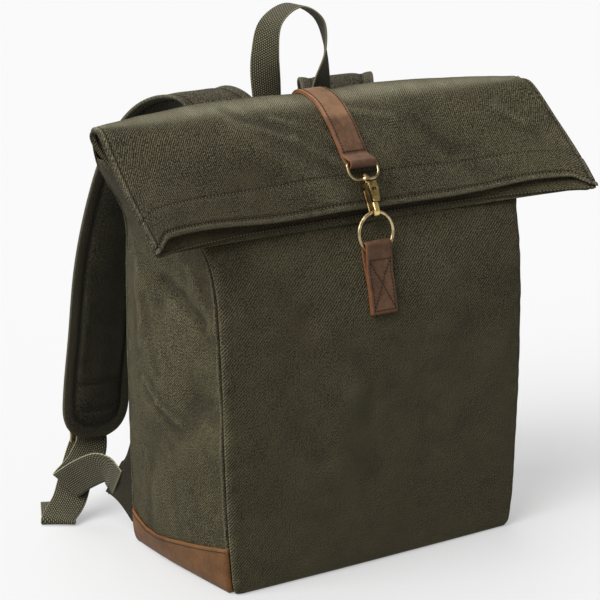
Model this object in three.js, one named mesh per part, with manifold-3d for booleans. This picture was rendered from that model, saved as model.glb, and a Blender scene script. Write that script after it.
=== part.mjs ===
// A waxed canvas roll-top backpack. It stands on its base, with its top flattened, folded
// forward over itself and clipped to a ring on the front.
// Millimetres, +Z up. The origin is the middle of the base on the floor, and the front faces -Y.
import * as THREE from 'three';
import { mergeVertices } from 'three/addons/utils/BufferGeometryUtils.js';
import Module from 'manifold-3d';

const wasm = await Module();
wasm.setup();

// Thicknesses and the clearance that touching pieces keep
const CANVAS = 2;
const LEATHER = 2;
const WEBBING = 1.8;
const GAP = 0.4;
const SEAM_GAP = 0.7;

// Leather over the roll, the tab on the front and the trim at the foot of the gussets
const CLOSURE_WIDTH = 26;
const CLOSURE_LAYER = 1.6;
const TAB_WIDTH = 26;
const TAB_BOTTOM_ROW = 5.9;
const TAB_TOP_ROW = 6.75;
const TRIM_FOOT_ROW = 0.35;
// Top edge of the trim: how far forward on the gusset, and the row it reaches there
const TRIM_TOP = [
  { forward: 0, row: 2.05 },
  { forward: 0.2, row: 1.74 },
  { forward: 0.35, row: 1.8 },
  { forward: 0.7, row: 2.08 },
  { forward: 1, row: 2.3 },
];

// Brass: the ring, the swivel clasp and the strap buckles
const RING_RADIUS = 17;
const RING_WIRE = 1.5;
const RING_TILT = THREE.MathUtils.degToRad(-6);
const LOOP_WIRE = 2.6;
const LOOP_INNER_WIDTH = 27;
const LOOP_INNER_HEIGHT = 11.2;
const LOOP_CORNER = 7;
const CLASP_TILT = THREE.MathUtils.degToRad(-27);
const EYE_HOLE = 2.2;
const HOOK_WIDTH = 5.2;
const HOOK_REACH = 27.5;
const HOOK_OUTER = 5.1;
const HOOK_INNER = 2.9;
const GATE_PIVOT = { y: -5.2, z: -6.6 };
const GATE_PIN = 1;
const POST_RADIUS = 1.7;

// Webbing and padded straps
const WEBBING_WIDTH = 30;
const HANDLE_WIDTH = 25;
const PAD_WIDTH = 66;
const BUCKLE = { x: 130.5, y: 177.2, z: 74, width: 39, height: 24, bar: 3, depth: 2.6 };

// One row for each section of the cloth tube, from the base to the mouth.
// y, z: middle of the section. lean: degrees that the tube has turned forward from straight up.
// seamX, seamN: where the corner seams are, across and from front to back.
// front, back, side: how far each panel swells past its seams. round: radius of the corners.
// endY, endZ: how far the section's two ends stand from its middle.
// tuck: how far the right end is drawn in, where the roll's corner is rounded.
const COLUMNS = [
  'y', 'z', 'lean', 'seamX', 'seamN', 'front', 'back', 'side', 'round', 'endY', 'endZ', 'tuck',
];
const SECTIONS = [
  [0, 1, 0, 141, 79, 1, 1, 1, 5, 0, 0, 0],
  [0, 8, 0, 144, 80.5, 2, 1.5, 5, 5, 0, 0, 0],
  [-1, 30, 0, 146.5, 80, 3, 3, 9, 5, 0, 0, 0],
  [-2, 70, 0, 149, 78.5, 5, 4, 12, 5, 0, 0, 0],
  [-3, 120, 0, 151, 77.5, 5.5, 5, 13, 5, 0, 0, 0],
  [-3, 170, 0, 152, 77, 5.5, 5, 13, 5, 0, 0, 0],
  [-3, 220, 0, 153, 75, 3.5, 5, 12, 5, 0, 0, 0],
  [-2, 256, 0, 154, 71.5, -1.5, 5, 10, 5, 0, 0, 0],
  [-1, 284, 0, 158, 63, -8, 5, 8, 5, 0, 0, 0],
  [0, 306, 0, 171, 49, -5, 5, 4, 4, 0, 0, 0],
  [4, 326, 0, 191, 30, -1, 5, 2, 3, -4, 0, 0],
  [17, 346, 0, 209, 13.5, 2, 4, 0.6, 1.5, -17, -0.5, 0],
  [26, 361.5, 0, 217, 5.6, 2.5, 3, 0, 0.4, -26, -2, 0],
  [27.5, 373.5, 20, 220, 3.2, 2, 2, 0, 0, -26.5, -4, 2],
  [20, 380.5, 70, 221, 3.2, 2, 2, 0, 0, -20, -4.5, 9],
  [0.5, 376.5, 107, 221, 2.7, 2.5, 2.5, 0, 0, -5.7, 1.2, 15],
  [-13, 366.5, 128, 221, 2.7, 2.5, 2.5, 0, 0, -0.5, 7.5, 8],
  [-27.5, 351, 142, 221, 2.7, 2.8, 2.8, 0, 0, -13, -7, 1],
  [-44.5, 321, 151, 221, 2.7, 2.6, 2.6, 0, 0, -27.5, -5, 0],
  [-57.3, 297.5, 157, 220, 2.7, 2.6, 2.6, 0, 0, -35, -0.5, 0],
  [-60.9, 289, 160, 220, 2.7, 2.6, 2.6, 0, 0, -32.5, 8, 0],
].map((row) => Object.fromEntries(COLUMNS.map((name, k) => [name, row[k]])));
const FRONT_LAST_ROW = 20;
const BACK_LAST_ROW = 19;
const GUSSET_LAST_ROW = 11.5;

// Main folds and dents: a ridge (depth above zero) or a valley along a line on one panel.
// across runs 0 to 1 over the panel, row is a place in the table above.
const FOLDS = [
  { panel: 'left', from: [0.75, 7.6], to: [0.35, 6], width: 22, depth: -4 },
  { panel: 'left', from: [0.85, 4.7], to: [0.35, 3.6], width: 20, depth: -4 },
  { panel: 'left', from: [0.25, 6.4], to: [0.6, 4.6], width: 18, depth: 3 },
  { panel: 'right', from: [0.25, 7.6], to: [0.65, 6], width: 22, depth: -4 },
  { panel: 'right', from: [0.15, 4.7], to: [0.65, 3.6], width: 20, depth: -4 },
  { panel: 'back', from: [0.72, 16.4], to: [0.56, 18.6], width: 16, depth: 4 },
  { panel: 'back', from: [0.3, 16.6], to: [0.22, 18.4], width: 18, depth: -3 },
  { panel: 'front', from: [0.1, 7.4], to: [0.25, 6.2], width: 22, depth: -2.5 },
  { panel: 'back', from: [0.5, 13], to: [0.5, 16.2], width: 34, depth: -2.5 },
];

const PAINT = {
  canvas: { color: 0x56523a, roughness: 0.75, metalness: 0 },
  leather: { color: 0x6a4729, roughness: 0.55, metalness: 0 },
  brass: { color: 0x8f7650, roughness: 0.4, metalness: 1 },
  webbing: { color: 0x5c5a3e, roughness: 0.85, metalness: 0 },
};

const backpack = new THREE.Group();

function addPiece(name, geometry, finish, parent = backpack) {
  const mesh = new THREE.Mesh(geometry, new THREE.MeshStandardMaterial(PAINT[finish]));
  mesh.name = name;
  parent.add(mesh);
  return mesh;
}

// Helpers for closed meshes

function geometryOf(vertices, triangles) {
  const geometry = new THREE.BufferGeometry();
  const position = vertices.flatMap((v) => [v.x, v.y, v.z]);
  geometry.setAttribute('position', new THREE.Float32BufferAttribute(position, 3));
  geometry.setIndex(triangles);
  return geometry;
}

// A wall between two like grids: rows run up the cloth, columns counter-clockwise round the bag
function wall({ outer, inner }) {
  const rows = outer.length;
  const columns = outer[0].length;
  const vertices = [...outer.flat(), ...inner.flat()];
  const offset = rows * columns;
  const at = (i, j) => i * columns + j;
  const triangles = [];
  const quad = (a, b, c, d) => triangles.push(a, b, c, a, c, d);
  for (let i = 0; i + 1 < rows; i += 1) {
    for (let j = 0; j + 1 < columns; j += 1) {
      const corners = [at(i, j), at(i, j + 1), at(i + 1, j + 1), at(i + 1, j)];
      quad(...corners);
      const [a, b, c, d] = corners.map((k) => k + offset);
      triangles.push(a, c, b, a, d, c);
    }
  }
  const rim = (a, b) => quad(b, a, a + offset, b + offset);
  for (let j = 0; j + 1 < columns; j += 1) {
    rim(at(0, j), at(0, j + 1));
    rim(at(rows - 1, j + 1), at(rows - 1, j));
  }
  for (let i = 0; i + 1 < rows; i += 1) {
    rim(at(i + 1, 0), at(i, 0));
    rim(at(i, columns - 1), at(i + 1, columns - 1));
  }
  return geometryOf(vertices, triangles);
}

// A band swept through stations {p, w, t}: w points across it and t along it.
// profile(k) lists the section's corners counter-clockwise as [across, through].
function sweep(stations, profile) {
  const rings = stations.map((station, k) => {
    const tangent = station.t.clone().normalize();
    const across = station.w.clone().addScaledVector(tangent, -station.w.dot(tangent)).normalize();
    const through = tangent.clone().cross(across);
    const corner = ([a, b]) => station.p.clone().addScaledVector(across, a).addScaledVector(through, b);
    return profile(k).map(corner);
  });
  const sides = rings[0].length;
  const triangles = [];
  for (let i = 0; i + 1 < rings.length; i += 1) {
    for (let k = 0; k < sides; k += 1) {
      const next = (k + 1) % sides;
      const [a, b] = [i * sides + k, i * sides + next];
      triangles.push(a, b, b + sides, a, b + sides, a + sides);
    }
  }
  const last = (rings.length - 1) * sides;
  for (let k = 1; k + 1 < sides; k += 1) {
    triangles.push(0, k + 1, k);
    triangles.push(last, last + k, last + k + 1);
  }
  return geometryOf(rings.flat(), triangles);
}

// Stations along a smooth curve through hand-chosen places {p, w}
function stationsAlong(places, count) {
  const curve = new THREE.CatmullRomCurve3(places.map((place) => place.p), false, 'catmullrom', 0.5);
  return Array.from({ length: count + 1 }, (_, k) => {
    const t = k / count;
    const at = Math.min(Math.floor(t * (places.length - 1)), places.length - 2);
    const w = places[at].w.clone().lerp(places[at + 1].w, t * (places.length - 1) - at);
    return { p: curve.getPoint(t), t: curve.getTangent(t), w, t01: t };
  });
}

const flatBand = (width, thickness) => () => [
  [-width / 2, -thickness / 2],
  [width / 2, -thickness / 2],
  [width / 2, thickness / 2],
  [-width / 2, thickness / 2],
];

// A side profile, drawn as (y, z), made solid across X and centred on X = 0
function extrudeAcross(shape, width, bevel = 0) {
  const geometry = new THREE.ExtrudeGeometry(shape, {
    depth: width - 2 * bevel,
    bevelEnabled: bevel > 0,
    bevelSize: bevel,
    bevelOffset: -bevel,
    bevelThickness: bevel,
    bevelSegments: 1,
    curveSegments: 8,
  });
  geometry.translate(0, 0, bevel - width / 2);
  const turn = new THREE.Matrix4().makeBasis(
    new THREE.Vector3(0, 1, 0),
    new THREE.Vector3(0, 0, 1),
    new THREE.Vector3(1, 0, 0),
  );
  return geometry.applyMatrix4(turn);
}

// A flat outline, drawn as (x, z), made solid along Y and centred on Y = 0
function extrudeThrough(shape, depth, bevel) {
  return extrudeAcross(shape, depth, bevel).rotateZ(-Math.PI / 2);
}

function solidOf(geometry) {
  const bare = geometry.clone();
  bare.deleteAttribute('normal');
  bare.deleteAttribute('uv');
  const merged = mergeVertices(bare, 1e-4);
  return new wasm.Manifold(new wasm.Mesh({
    numProp: 3,
    vertProperties: new Float32Array(merged.attributes.position.array),
    triVerts: new Uint32Array(merged.index.array),
  }));
}

function geometryOfSolid(solid) {
  const mesh = solid.getMesh();
  const geometry = new THREE.BufferGeometry();
  geometry.setAttribute('position', new THREE.BufferAttribute(new Float32Array(mesh.vertProperties), 3));
  geometry.setIndex(new THREE.BufferAttribute(new Uint32Array(mesh.triVerts), 1));
  return geometry;
}

function rectangle(width, height, middleX = 0, middleY = 0) {
  const [w, h] = [width / 2, height / 2];
  const corners = [[-w, -h], [w, -h], [w, h], [-w, h]];
  return corners.map(([x, y]) => new THREE.Vector2(middleX + x, middleY + y));
}

// The cloth tube

function cubic(a, b, c, d, t) {
  return 0.5 * (2 * b + (c - a) * t + (2 * a - 5 * b + 4 * c - d) * t * t + (3 * b - a - 3 * c + d) * t ** 3);
}

function sectionAt(row) {
  const k = Math.min(Math.floor(row), SECTIONS.length - 2);
  const last = SECTIONS.length - 1;
  const four = [k - 1, k, k + 1, k + 2].map((n) => SECTIONS[THREE.MathUtils.clamp(n, 0, last)]);
  const blended = {};
  for (const name of COLUMNS) {
    blended[name] = cubic(...four.map((section) => section[name]), row - k);
  }
  for (const name of ['round', 'side', 'tuck']) {
    blended[name] = Math.max(blended[name], 0);
  }
  return blended;
}

// A place x across and n out from the middle of a section, n being towards the back
function place(section, x, n) {
  const lean = THREE.MathUtils.degToRad(section.lean);
  const end = Math.abs(x / section.seamX) ** 3;
  return new THREE.Vector3(
    x > 0 ? x - section.tuck * end : x,
    section.y + n * Math.cos(lean) + section.endY * end,
    section.z + n * Math.sin(lean) + section.endZ * end,
  );
}

// The front or back panel's section, from left seam to right seam, as points (x, distance out)
function panelOutline({ seamX, seamN, round }, bulge) {
  const cornerSteps = 5;
  const flatSteps = 24;
  const flat = seamX - round;
  const corner = Array.from({ length: cornerSteps + 1 }, (_, k) => {
    const turn = (k / cornerSteps) * (Math.PI / 2);
    return new THREE.Vector2(-flat - round * Math.cos(turn), seamN - round + round * Math.sin(turn));
  });
  const middle = Array.from({ length: flatSteps - 1 }, (_, k) => {
    const x = flat * ((2 * (k + 1)) / flatSteps - 1);
    return new THREE.Vector2(x, seamN + bulge * (1 - (x / flat) ** 2));
  });
  const mirrored = corner.map((p) => new THREE.Vector2(-p.x, p.y)).reverse();
  return [...corner, ...middle, ...mirrored];
}

function gussetOutline({ seamX, seamN, round, side }) {
  const steps = 16;
  const half = seamN - Math.max(round, CANVAS) - SEAM_GAP;
  return Array.from({ length: steps + 1 }, (_, k) => {
    const n = half * ((2 * k) / steps - 1);
    return new THREE.Vector2(seamX + side * (1 - (n / half) ** 2), n);
  });
}

// The point at a share of a polyline's length
function alongOutline(points, share) {
  const lengths = points.slice(1).map((p, k) => p.distanceTo(points[k]));
  let left = share * lengths.reduce((sum, length) => sum + length, 0);
  let k = 0;
  while (k < lengths.length - 1 && left > lengths[k]) {
    left -= lengths[k];
    k += 1;
  }
  return points[k].clone().lerp(points[k + 1], lengths[k] > 0 ? left / lengths[k] : 0);
}

// A place on the outer face of a panel, before its folds
function smoothPlace(panel, across, row) {
  const section = sectionAt(row);
  if (panel === 'front' || panel === 'back') {
    const p = alongOutline(panelOutline(section, section[panel]), across);
    return panel === 'front' ? place(section, p.x, -p.y) : place(section, -p.x, p.y);
  }
  const p = alongOutline(gussetOutline(section), across);
  return panel === 'right' ? place(section, p.x, p.y) : place(section, -p.x, -p.y);
}

function foldDepth(panel, point) {
  let depth = 0;
  for (const fold of FOLDS.filter((row) => row.panel === panel)) {
    const line = new THREE.Line3(smoothPlace(panel, ...fold.from), smoothPlace(panel, ...fold.to));
    const nearest = line.closestPointToPoint(point, true, new THREE.Vector3());
    depth += fold.depth * Math.exp(-((nearest.distanceTo(point) / fold.width) ** 2));
  }
  return depth;
}

// A place on a panel with its folds, moved out by some distance
function panelPlace(panel, across, row, out = 0) {
  const [shareStep, rowStep] = [0.002, 0.01];
  const [left, right] = [Math.max(across - shareStep, 0), Math.min(across + shareStep, 1)];
  const [low, high] = [Math.max(row - rowStep, 0), Math.min(row + rowStep, SECTIONS.length - 1)];
  const p = smoothPlace(panel, across, row);
  const along = smoothPlace(panel, right, row).sub(smoothPlace(panel, left, row));
  const up = smoothPlace(panel, across, high).sub(smoothPlace(panel, across, low));
  return p.addScaledVector(along.cross(up).normalize(), out + foldDepth(panel, p));
}

// Both faces of a layer on a panel, whose outer face stands out from the canvas by some distance
function layer(panel, shares, rows, thickness, out = 0, rowAt = (across, row) => row) {
  const spot = (across, row, distance) => panelPlace(panel, across, rowAt(across, row), distance);
  const face = (distance) => rows.map((row) => shares.map((across) => spot(across, row, distance)));
  return wall({ outer: face(out), inner: face(out - thickness) });
}

function evenly(from, to, steps) {
  return Array.from({ length: steps + 1 }, (_, k) => from + ((to - from) * k) / steps);
}

const BACK_ROWS = [0, 0.5, 1, 1.5, ...evenly(2, 6, 4), ...evenly(6.5, BACK_LAST_ROW, 25)];

function trimTop(forward) {
  const next = Math.max(TRIM_TOP.findIndex((spot) => spot.forward >= forward), 1);
  const [low, high] = [TRIM_TOP[next - 1], TRIM_TOP[next]];
  return THREE.MathUtils.mapLinear(forward, low.forward, high.forward, low.row, high.row);
}

function addCloth() {
  const shares = [0, 0.02, 0.045, ...evenly(0.1, 0.9, 10), 0.955, 0.98, 1];
  addPiece('front_panel', layer('front', shares, [...BACK_ROWS, FRONT_LAST_ROW], CANVAS), 'canvas');
  addPiece('back_panel', layer('back', shares, BACK_ROWS, CANVAS), 'canvas');
  const gussetShares = evenly(0, 1, 8);
  const gussetRows = [0, 0.5, 1, 1.5, ...evenly(2, 11, 16), GUSSET_LAST_ROW];
  for (const side of ['left', 'right']) {
    const trimRow = (across, up) => {
      const forward = side === 'left' ? across : 1 - across;
      return THREE.MathUtils.lerp(TRIM_FOOT_ROW, trimTop(forward), up);
    };
    const trim = layer(side, gussetShares, evenly(0, 1, 5), LEATHER, GAP + LEATHER, trimRow);
    addPiece(`${side}_gusset`, layer(side, gussetShares, gussetRows, CANVAS), 'canvas');
    addPiece(`${side}_base_trim`, trim, 'leather');
  }
  const foot = SECTIONS[0];
  const inset = 2.4;
  const outline = new THREE.Shape();
  const [cornerX, cornerY] = [foot.seamX - foot.round, foot.seamN - foot.round];
  for (const [k, [x, y]] of [[1, 1], [-1, 1], [-1, -1], [1, -1]].entries()) {
    const turn = (k * Math.PI) / 2;
    outline.absarc(x * cornerX, y * cornerY, foot.round - inset, turn, turn + Math.PI / 2, false);
  }
  const flat = { depth: CANVAS, bevelEnabled: false, curveSegments: 4 };
  addPiece('base_panel', new THREE.ExtrudeGeometry(outline, flat), 'canvas');
}

// The closure: strap over the roll, swivel clasp, ring and tab, all on X = 0

const CLOSURE_START_ROW = 11.5;
const CLOSURE_END_ROW = 17.5;
const CLOSURE_THICK = 2 * CLOSURE_LAYER;
const EYE_OUTER = EYE_HOLE + LEATHER;
const EYE_DROP = 9;
const EYE_LIFT = 3;
const CLOSURE_GAP = 2 * GAP;

const sideOn = (p) => new THREE.Vector2(p.y, p.z);

function closureEnd() {
  const end = sideOn(panelPlace('back', 0.5, CLOSURE_END_ROW, GAP));
  const before = sideOn(panelPlace('back', 0.5, CLOSURE_END_ROW - 0.2, GAP));
  const down = end.clone().sub(before).normalize();
  const out = new THREE.Vector2(down.y, -down.x);
  const eye = end.clone().addScaledVector(out, EYE_OUTER + EYE_LIFT).addScaledVector(down, EYE_DROP);
  return { down, out, eye };
}

function circleHole(middle, radius) {
  const path = new THREE.Path();
  path.absarc(middle.x, middle.y, radius, 0, 2 * Math.PI, false);
  return path;
}

function addClosureStrap() {
  const rows = BACK_ROWS.filter((row) => row >= CLOSURE_START_ROW && row <= CLOSURE_END_ROW);
  const under = rows.map((row) => sideOn(panelPlace('back', 0.5, row, CLOSURE_GAP)));
  const top = CLOSURE_GAP + CLOSURE_THICK;
  const over = rows.map((row) => sideOn(panelPlace('back', 0.5, row, top))).reverse();
  const { down, out, eye } = closureEnd();
  const arcSteps = 10;
  const arc = Array.from({ length: arcSteps + 1 }, (_, k) => {
    const turn = (k / arcSteps) * 1.25 * Math.PI;
    const [outward, downward] = [-EYE_OUTER * Math.cos(turn), EYE_OUTER * Math.sin(turn)];
    return eye.clone().addScaledVector(out, outward).addScaledVector(down, downward);
  });
  const shape = new THREE.Shape([...under, ...arc, ...over]);
  shape.holes.push(circleHole(eye, EYE_HOLE));
  addPiece('closure_strap', extrudeAcross(shape, CLOSURE_WIDTH), 'leather');
}

function claspOrigin() {
  const barSpacing = LOOP_INNER_HEIGHT + LOOP_WIRE;
  const { eye } = closureEnd();
  const [y, z] = [barSpacing * Math.sin(CLASP_TILT), -barSpacing * Math.cos(CLASP_TILT)];
  return new THREE.Vector3(0, eye.x + y, eye.y + z);
}

// The loop's lower bar is at the clasp's own origin, and the hook hangs below it
function clasploop() {
  const middle = (LOOP_INNER_HEIGHT + LOOP_WIRE) / 2;
  const dee = (width, height, corner) => {
    const [w, h] = [width / 2, height / 2];
    const path = new THREE.Path();
    path.moveTo(-w, middle + h);
    path.lineTo(-w, middle - h + corner);
    path.absarc(corner - w, middle - h + corner, corner, Math.PI, 1.5 * Math.PI, false);
    path.absarc(w - corner, middle - h + corner, corner, 1.5 * Math.PI, 2 * Math.PI, false);
    path.lineTo(w, middle + h);
    return path;
  };
  const hole = dee(LOOP_INNER_WIDTH, LOOP_INNER_HEIGHT, LOOP_CORNER);
  const both = 2 * LOOP_WIRE;
  const rim = dee(LOOP_INNER_WIDTH + both, LOOP_INNER_HEIGHT + both, LOOP_CORNER + LOOP_WIRE);
  const outline = new THREE.Shape(rim.getPoints(3));
  outline.holes.push(new THREE.Path(hole.getPoints(3)));
  const loop = solidOf(extrudeThrough(outline, LOOP_WIRE, 0.7));
  const boss = solidOf(new THREE.CylinderGeometry(3.6, 3.6, LOOP_WIRE + 0.6, 14).rotateX(Math.PI / 2));
  const boreRadius = POST_RADIUS + GAP;
  const bore = solidOf(new THREE.CylinderGeometry(boreRadius, boreRadius, 20, 14).rotateX(Math.PI / 2));
  return geometryOfSolid(loop.add(boss).subtract(bore));
}

function hookBody() {
  const shape = new THREE.Shape();
  const top = -3.6;
  const shoulder = -7.6;
  const blockFront = -2.6;
  const tipTop = -HOOK_REACH + 6.2;
  shape.moveTo(blockFront, top);
  shape.lineTo(blockFront, shoulder);
  shape.lineTo(HOOK_INNER, shoulder - 2);
  shape.lineTo(HOOK_INNER, -HOOK_REACH);
  shape.absarc(0, -HOOK_REACH, HOOK_INNER, 0, -Math.PI, true);
  shape.lineTo(-HOOK_INNER, tipTop);
  shape.lineTo(-HOOK_OUTER, tipTop);
  shape.lineTo(-HOOK_OUTER, -HOOK_REACH);
  shape.absarc(0, -HOOK_REACH, HOOK_OUTER, -Math.PI, 0, false);
  shape.lineTo(HOOK_OUTER, shoulder);
  shape.lineTo(HOOK_INNER, top);
  const body = solidOf(extrudeAcross(shape, HOOK_WIDTH, 0.6));
  const postHeight = 9.4;
  const headHeight = 2.2;
  const postTop = LOOP_WIRE / 2 + GAP + headHeight;
  const post = solidOf(
    new THREE.CylinderGeometry(POST_RADIUS, POST_RADIUS, postHeight, 12)
      .rotateX(Math.PI / 2)
      .translate(0, 0, postTop - postHeight / 2),
  );
  const head = solidOf(
    new THREE.CylinderGeometry(1.8, 3, headHeight, 12)
      .rotateX(Math.PI / 2)
      .translate(0, 0, postTop - headHeight / 2),
  );
  const earThick = 1.2;
  const earX = GATE_TOP_WIDTH / 2 + GAP + earThick / 2;
  const earLength = HOOK_INNER - GATE_PIVOT.y + 1.6;
  const ears = [-1, 1].map((side) => solidOf(
    new THREE.BoxGeometry(earThick, earLength, 3.4)
      .translate(side * earX, HOOK_INNER - earLength / 2, GATE_PIVOT.z + 0.6),
  ));
  const bridge = solidOf(
    new THREE.BoxGeometry(2 * earX + earThick, 3.2, 3.4).translate(0, 1.4, GATE_PIVOT.z + 0.6),
  );
  const pin = solidOf(
    new THREE.CylinderGeometry(GATE_PIN, GATE_PIN, 2 * earX, 10)
      .rotateZ(Math.PI / 2)
      .translate(0, GATE_PIVOT.y, GATE_PIVOT.z),
  );
  return geometryOfSolid(body.add(post).add(head).add(ears[0]).add(ears[1]).add(bridge).add(pin));
}

const GATE_TOP_WIDTH = 5.8;
const GATE_TIP_WIDTH = 4.8;

// The lever: a plate with a small window that narrows to the hook's tip, with a barrel round the pin
function hookGate() {
  const thick = 2.2;
  const tip = -HOOK_REACH + 6.2 + 0.5;
  const top = GATE_PIVOT.z + 2.2;
  const outline = new THREE.Shape([
    new THREE.Vector2(-GATE_TOP_WIDTH / 2, top),
    new THREE.Vector2(-GATE_TIP_WIDTH / 2, tip),
    new THREE.Vector2(GATE_TIP_WIDTH / 2, tip),
    new THREE.Vector2(GATE_TOP_WIDTH / 2, top),
  ]);
  const plate = solidOf(extrudeThrough(outline, thick, 0.4).translate(0, GATE_PIVOT.y - 0.4, 0));
  const barrel = solidOf(
    new THREE.CylinderGeometry(2.1, 2.1, GATE_TOP_WIDTH - 0.6, 12)
      .rotateZ(Math.PI / 2)
      .translate(0, GATE_PIVOT.y, GATE_PIVOT.z),
  );
  const bore = solidOf(
    new THREE.CylinderGeometry(GATE_PIN + 0.35, GATE_PIN + 0.35, 20, 12)
      .rotateZ(Math.PI / 2)
      .translate(0, GATE_PIVOT.y, GATE_PIVOT.z),
  );
  const window = solidOf(
    new THREE.BoxGeometry(2.4, 3 * thick, 2.4).translate(0, GATE_PIVOT.y - 0.4, GATE_PIVOT.z - 4.2),
  );
  return geometryOfSolid(plate.add(barrel).subtract(bore).subtract(window));
}

// The ring hangs from the bottom of the hook's throat and leans back to the tab
function ringMiddle() {
  const wireRest = -HOOK_REACH - HOOK_INNER + RING_WIRE + 0.9;
  const acrossAxis = new THREE.Vector3(1, 0, 0);
  const grip = new THREE.Vector3(0, 0, wireRest).applyAxisAngle(acrossAxis, CLASP_TILT).add(claspOrigin());
  const [y, z] = [RING_RADIUS * Math.sin(RING_TILT), -RING_RADIUS * Math.cos(RING_TILT)];
  return new THREE.Vector2(grip.y + y, grip.z + z);
}

function addRingTab() {
  const middle = ringMiddle();
  const ringDown = new THREE.Vector2(Math.sin(RING_TILT), -Math.cos(RING_TILT));
  const ringOut = new THREE.Vector2(-ringDown.y, ringDown.x).negate();
  const slotHalf = RING_WIRE + GAP;
  const wallHalf = slotHalf + LEATHER;
  const slotTop = Math.sqrt((RING_RADIUS - RING_WIRE) ** 2 - (TAB_WIDTH / 2) ** 2) - GAP;
  const slotHigh = slotTop + slotHalf;
  const onRing = (down, out) => middle.clone().addScaledVector(ringDown, down).addScaledVector(ringOut, out);
  const arc = (down, radius, from, steps) => Array.from({ length: steps + 1 }, (_, k) => {
    const turn = from + (k / steps) * Math.PI;
    return onRing(down - radius * Math.sin(turn), radius * Math.cos(turn));
  });
  const rows = evenly(TAB_BOTTOM_ROW, TAB_TOP_ROW, 4);
  const back = rows.map((row) => sideOn(panelPlace('front', 0.5, row, GAP)));
  const front = rows.map((row) => sideOn(panelPlace('front', 0.5, row, GAP + 2 * LEATHER))).reverse();
  const top = arc(slotHigh, wallHalf, 0, 8).reverse();
  const [behind, before] = [onRing(RING_RADIUS, -wallHalf), onRing(RING_RADIUS, wallHalf)];
  const shape = new THREE.Shape([...back, behind, ...top, before, ...front]);
  const slot = [...arc(slotHigh, slotHalf, 0, 6), ...arc(RING_RADIUS, slotHalf, Math.PI, 6)];
  shape.holes.push(new THREE.Path(slot));
  addPiece('ring_tab', extrudeAcross(shape, TAB_WIDTH), 'leather');
}

function addClasp() {
  addClosureStrap();
  const clasp = new THREE.Group();
  clasp.position.copy(claspOrigin());
  clasp.rotation.x = CLASP_TILT;
  backpack.add(clasp);
  addPiece('clasp_loop', clasploop(), 'brass', clasp);
  addPiece('snap_hook', hookBody(), 'brass', clasp);
  addPiece('hook_gate', hookGate(), 'brass', clasp);
  const middle = ringMiddle();
  const ring = addPiece('closure_ring', new THREE.TorusGeometry(RING_RADIUS, RING_WIRE, 8, 24), 'brass');
  ring.position.set(0, middle.x, middle.y);
  ring.rotation.x = Math.PI / 2 + RING_TILT;
  addRingTab();
}

// The haul handle: a webbing loop whose feet lie flat on the back, so it turns half round

function addHandle() {
  const rise = [
    { x: 25.5, y: 43.5, z: 352, turn: 4 },
    { x: 28, y: 44.5, z: 382, turn: 18 },
    { x: 30.5, y: 42.5, z: 414, turn: 55 },
    { x: 24, y: 43.5, z: 440.5, turn: 75 },
    { x: 0, y: 45, z: 453, turn: 90 },
  ];
  const across = (turn) => {
    const angle = THREE.MathUtils.degToRad(turn);
    return new THREE.Vector3(Math.cos(angle), -Math.sin(angle), 0);
  };
  const footX = 25;
  const foot = [9.4, 9.9].map((row) => {
    const p = panelPlace('back', 0.5 - footX / (2 * sectionAt(row).seamX), row, 5 * GAP + WEBBING / 2);
    return { x: footX, y: p.y, z: p.z, turn: 0 };
  });
  const left = [...foot, ...rise].map(({ x, y, z, turn }) => ({
    p: new THREE.Vector3(-x, y, z),
    w: across(turn),
  }));
  const right = left.slice(0, -1).reverse().map(({ p, w }) => ({
    p: new THREE.Vector3(-p.x, p.y, p.z),
    w: new THREE.Vector3(-w.x, w.y, w.z),
  }));
  const stations = stationsAlong([...left, ...right], 48);
  addPiece('haul_handle', sweep(stations, flatBand(HANDLE_WIDTH, WEBBING)), 'webbing');
}

// Shoulder straps, given for the bag's left side (the wearer's left, -X) and mirrored for the right

// Middle of the padded strap from its sewn root on the back to its round lower end
const STRAP_PATH = [
  { x: -52, y: 62.4, z: 299, half: 3 },
  { x: -52, y: 53, z: 321, half: 4 },
  { x: -53, y: 52.5, z: 345, half: 5 },
  { x: -58, y: 63.5, z: 367, half: 6 },
  { x: -71, y: 84, z: 377, half: 6 },
  { x: -89, y: 108, z: 364, half: 6 },
  { x: -104, y: 128.5, z: 330, half: 6 },
  { x: -113, y: 144, z: 283, half: 6 },
  { x: -120, y: 156, z: 225, half: 6 },
  { x: -124, y: 163, z: 160, half: 6 },
  { x: -128.5, y: 166, z: 110, half: 6 },
  { x: -130.5, y: 167, z: 66, half: 4.5 },
];
const STRAP_END_LENGTH = 34;

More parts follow.
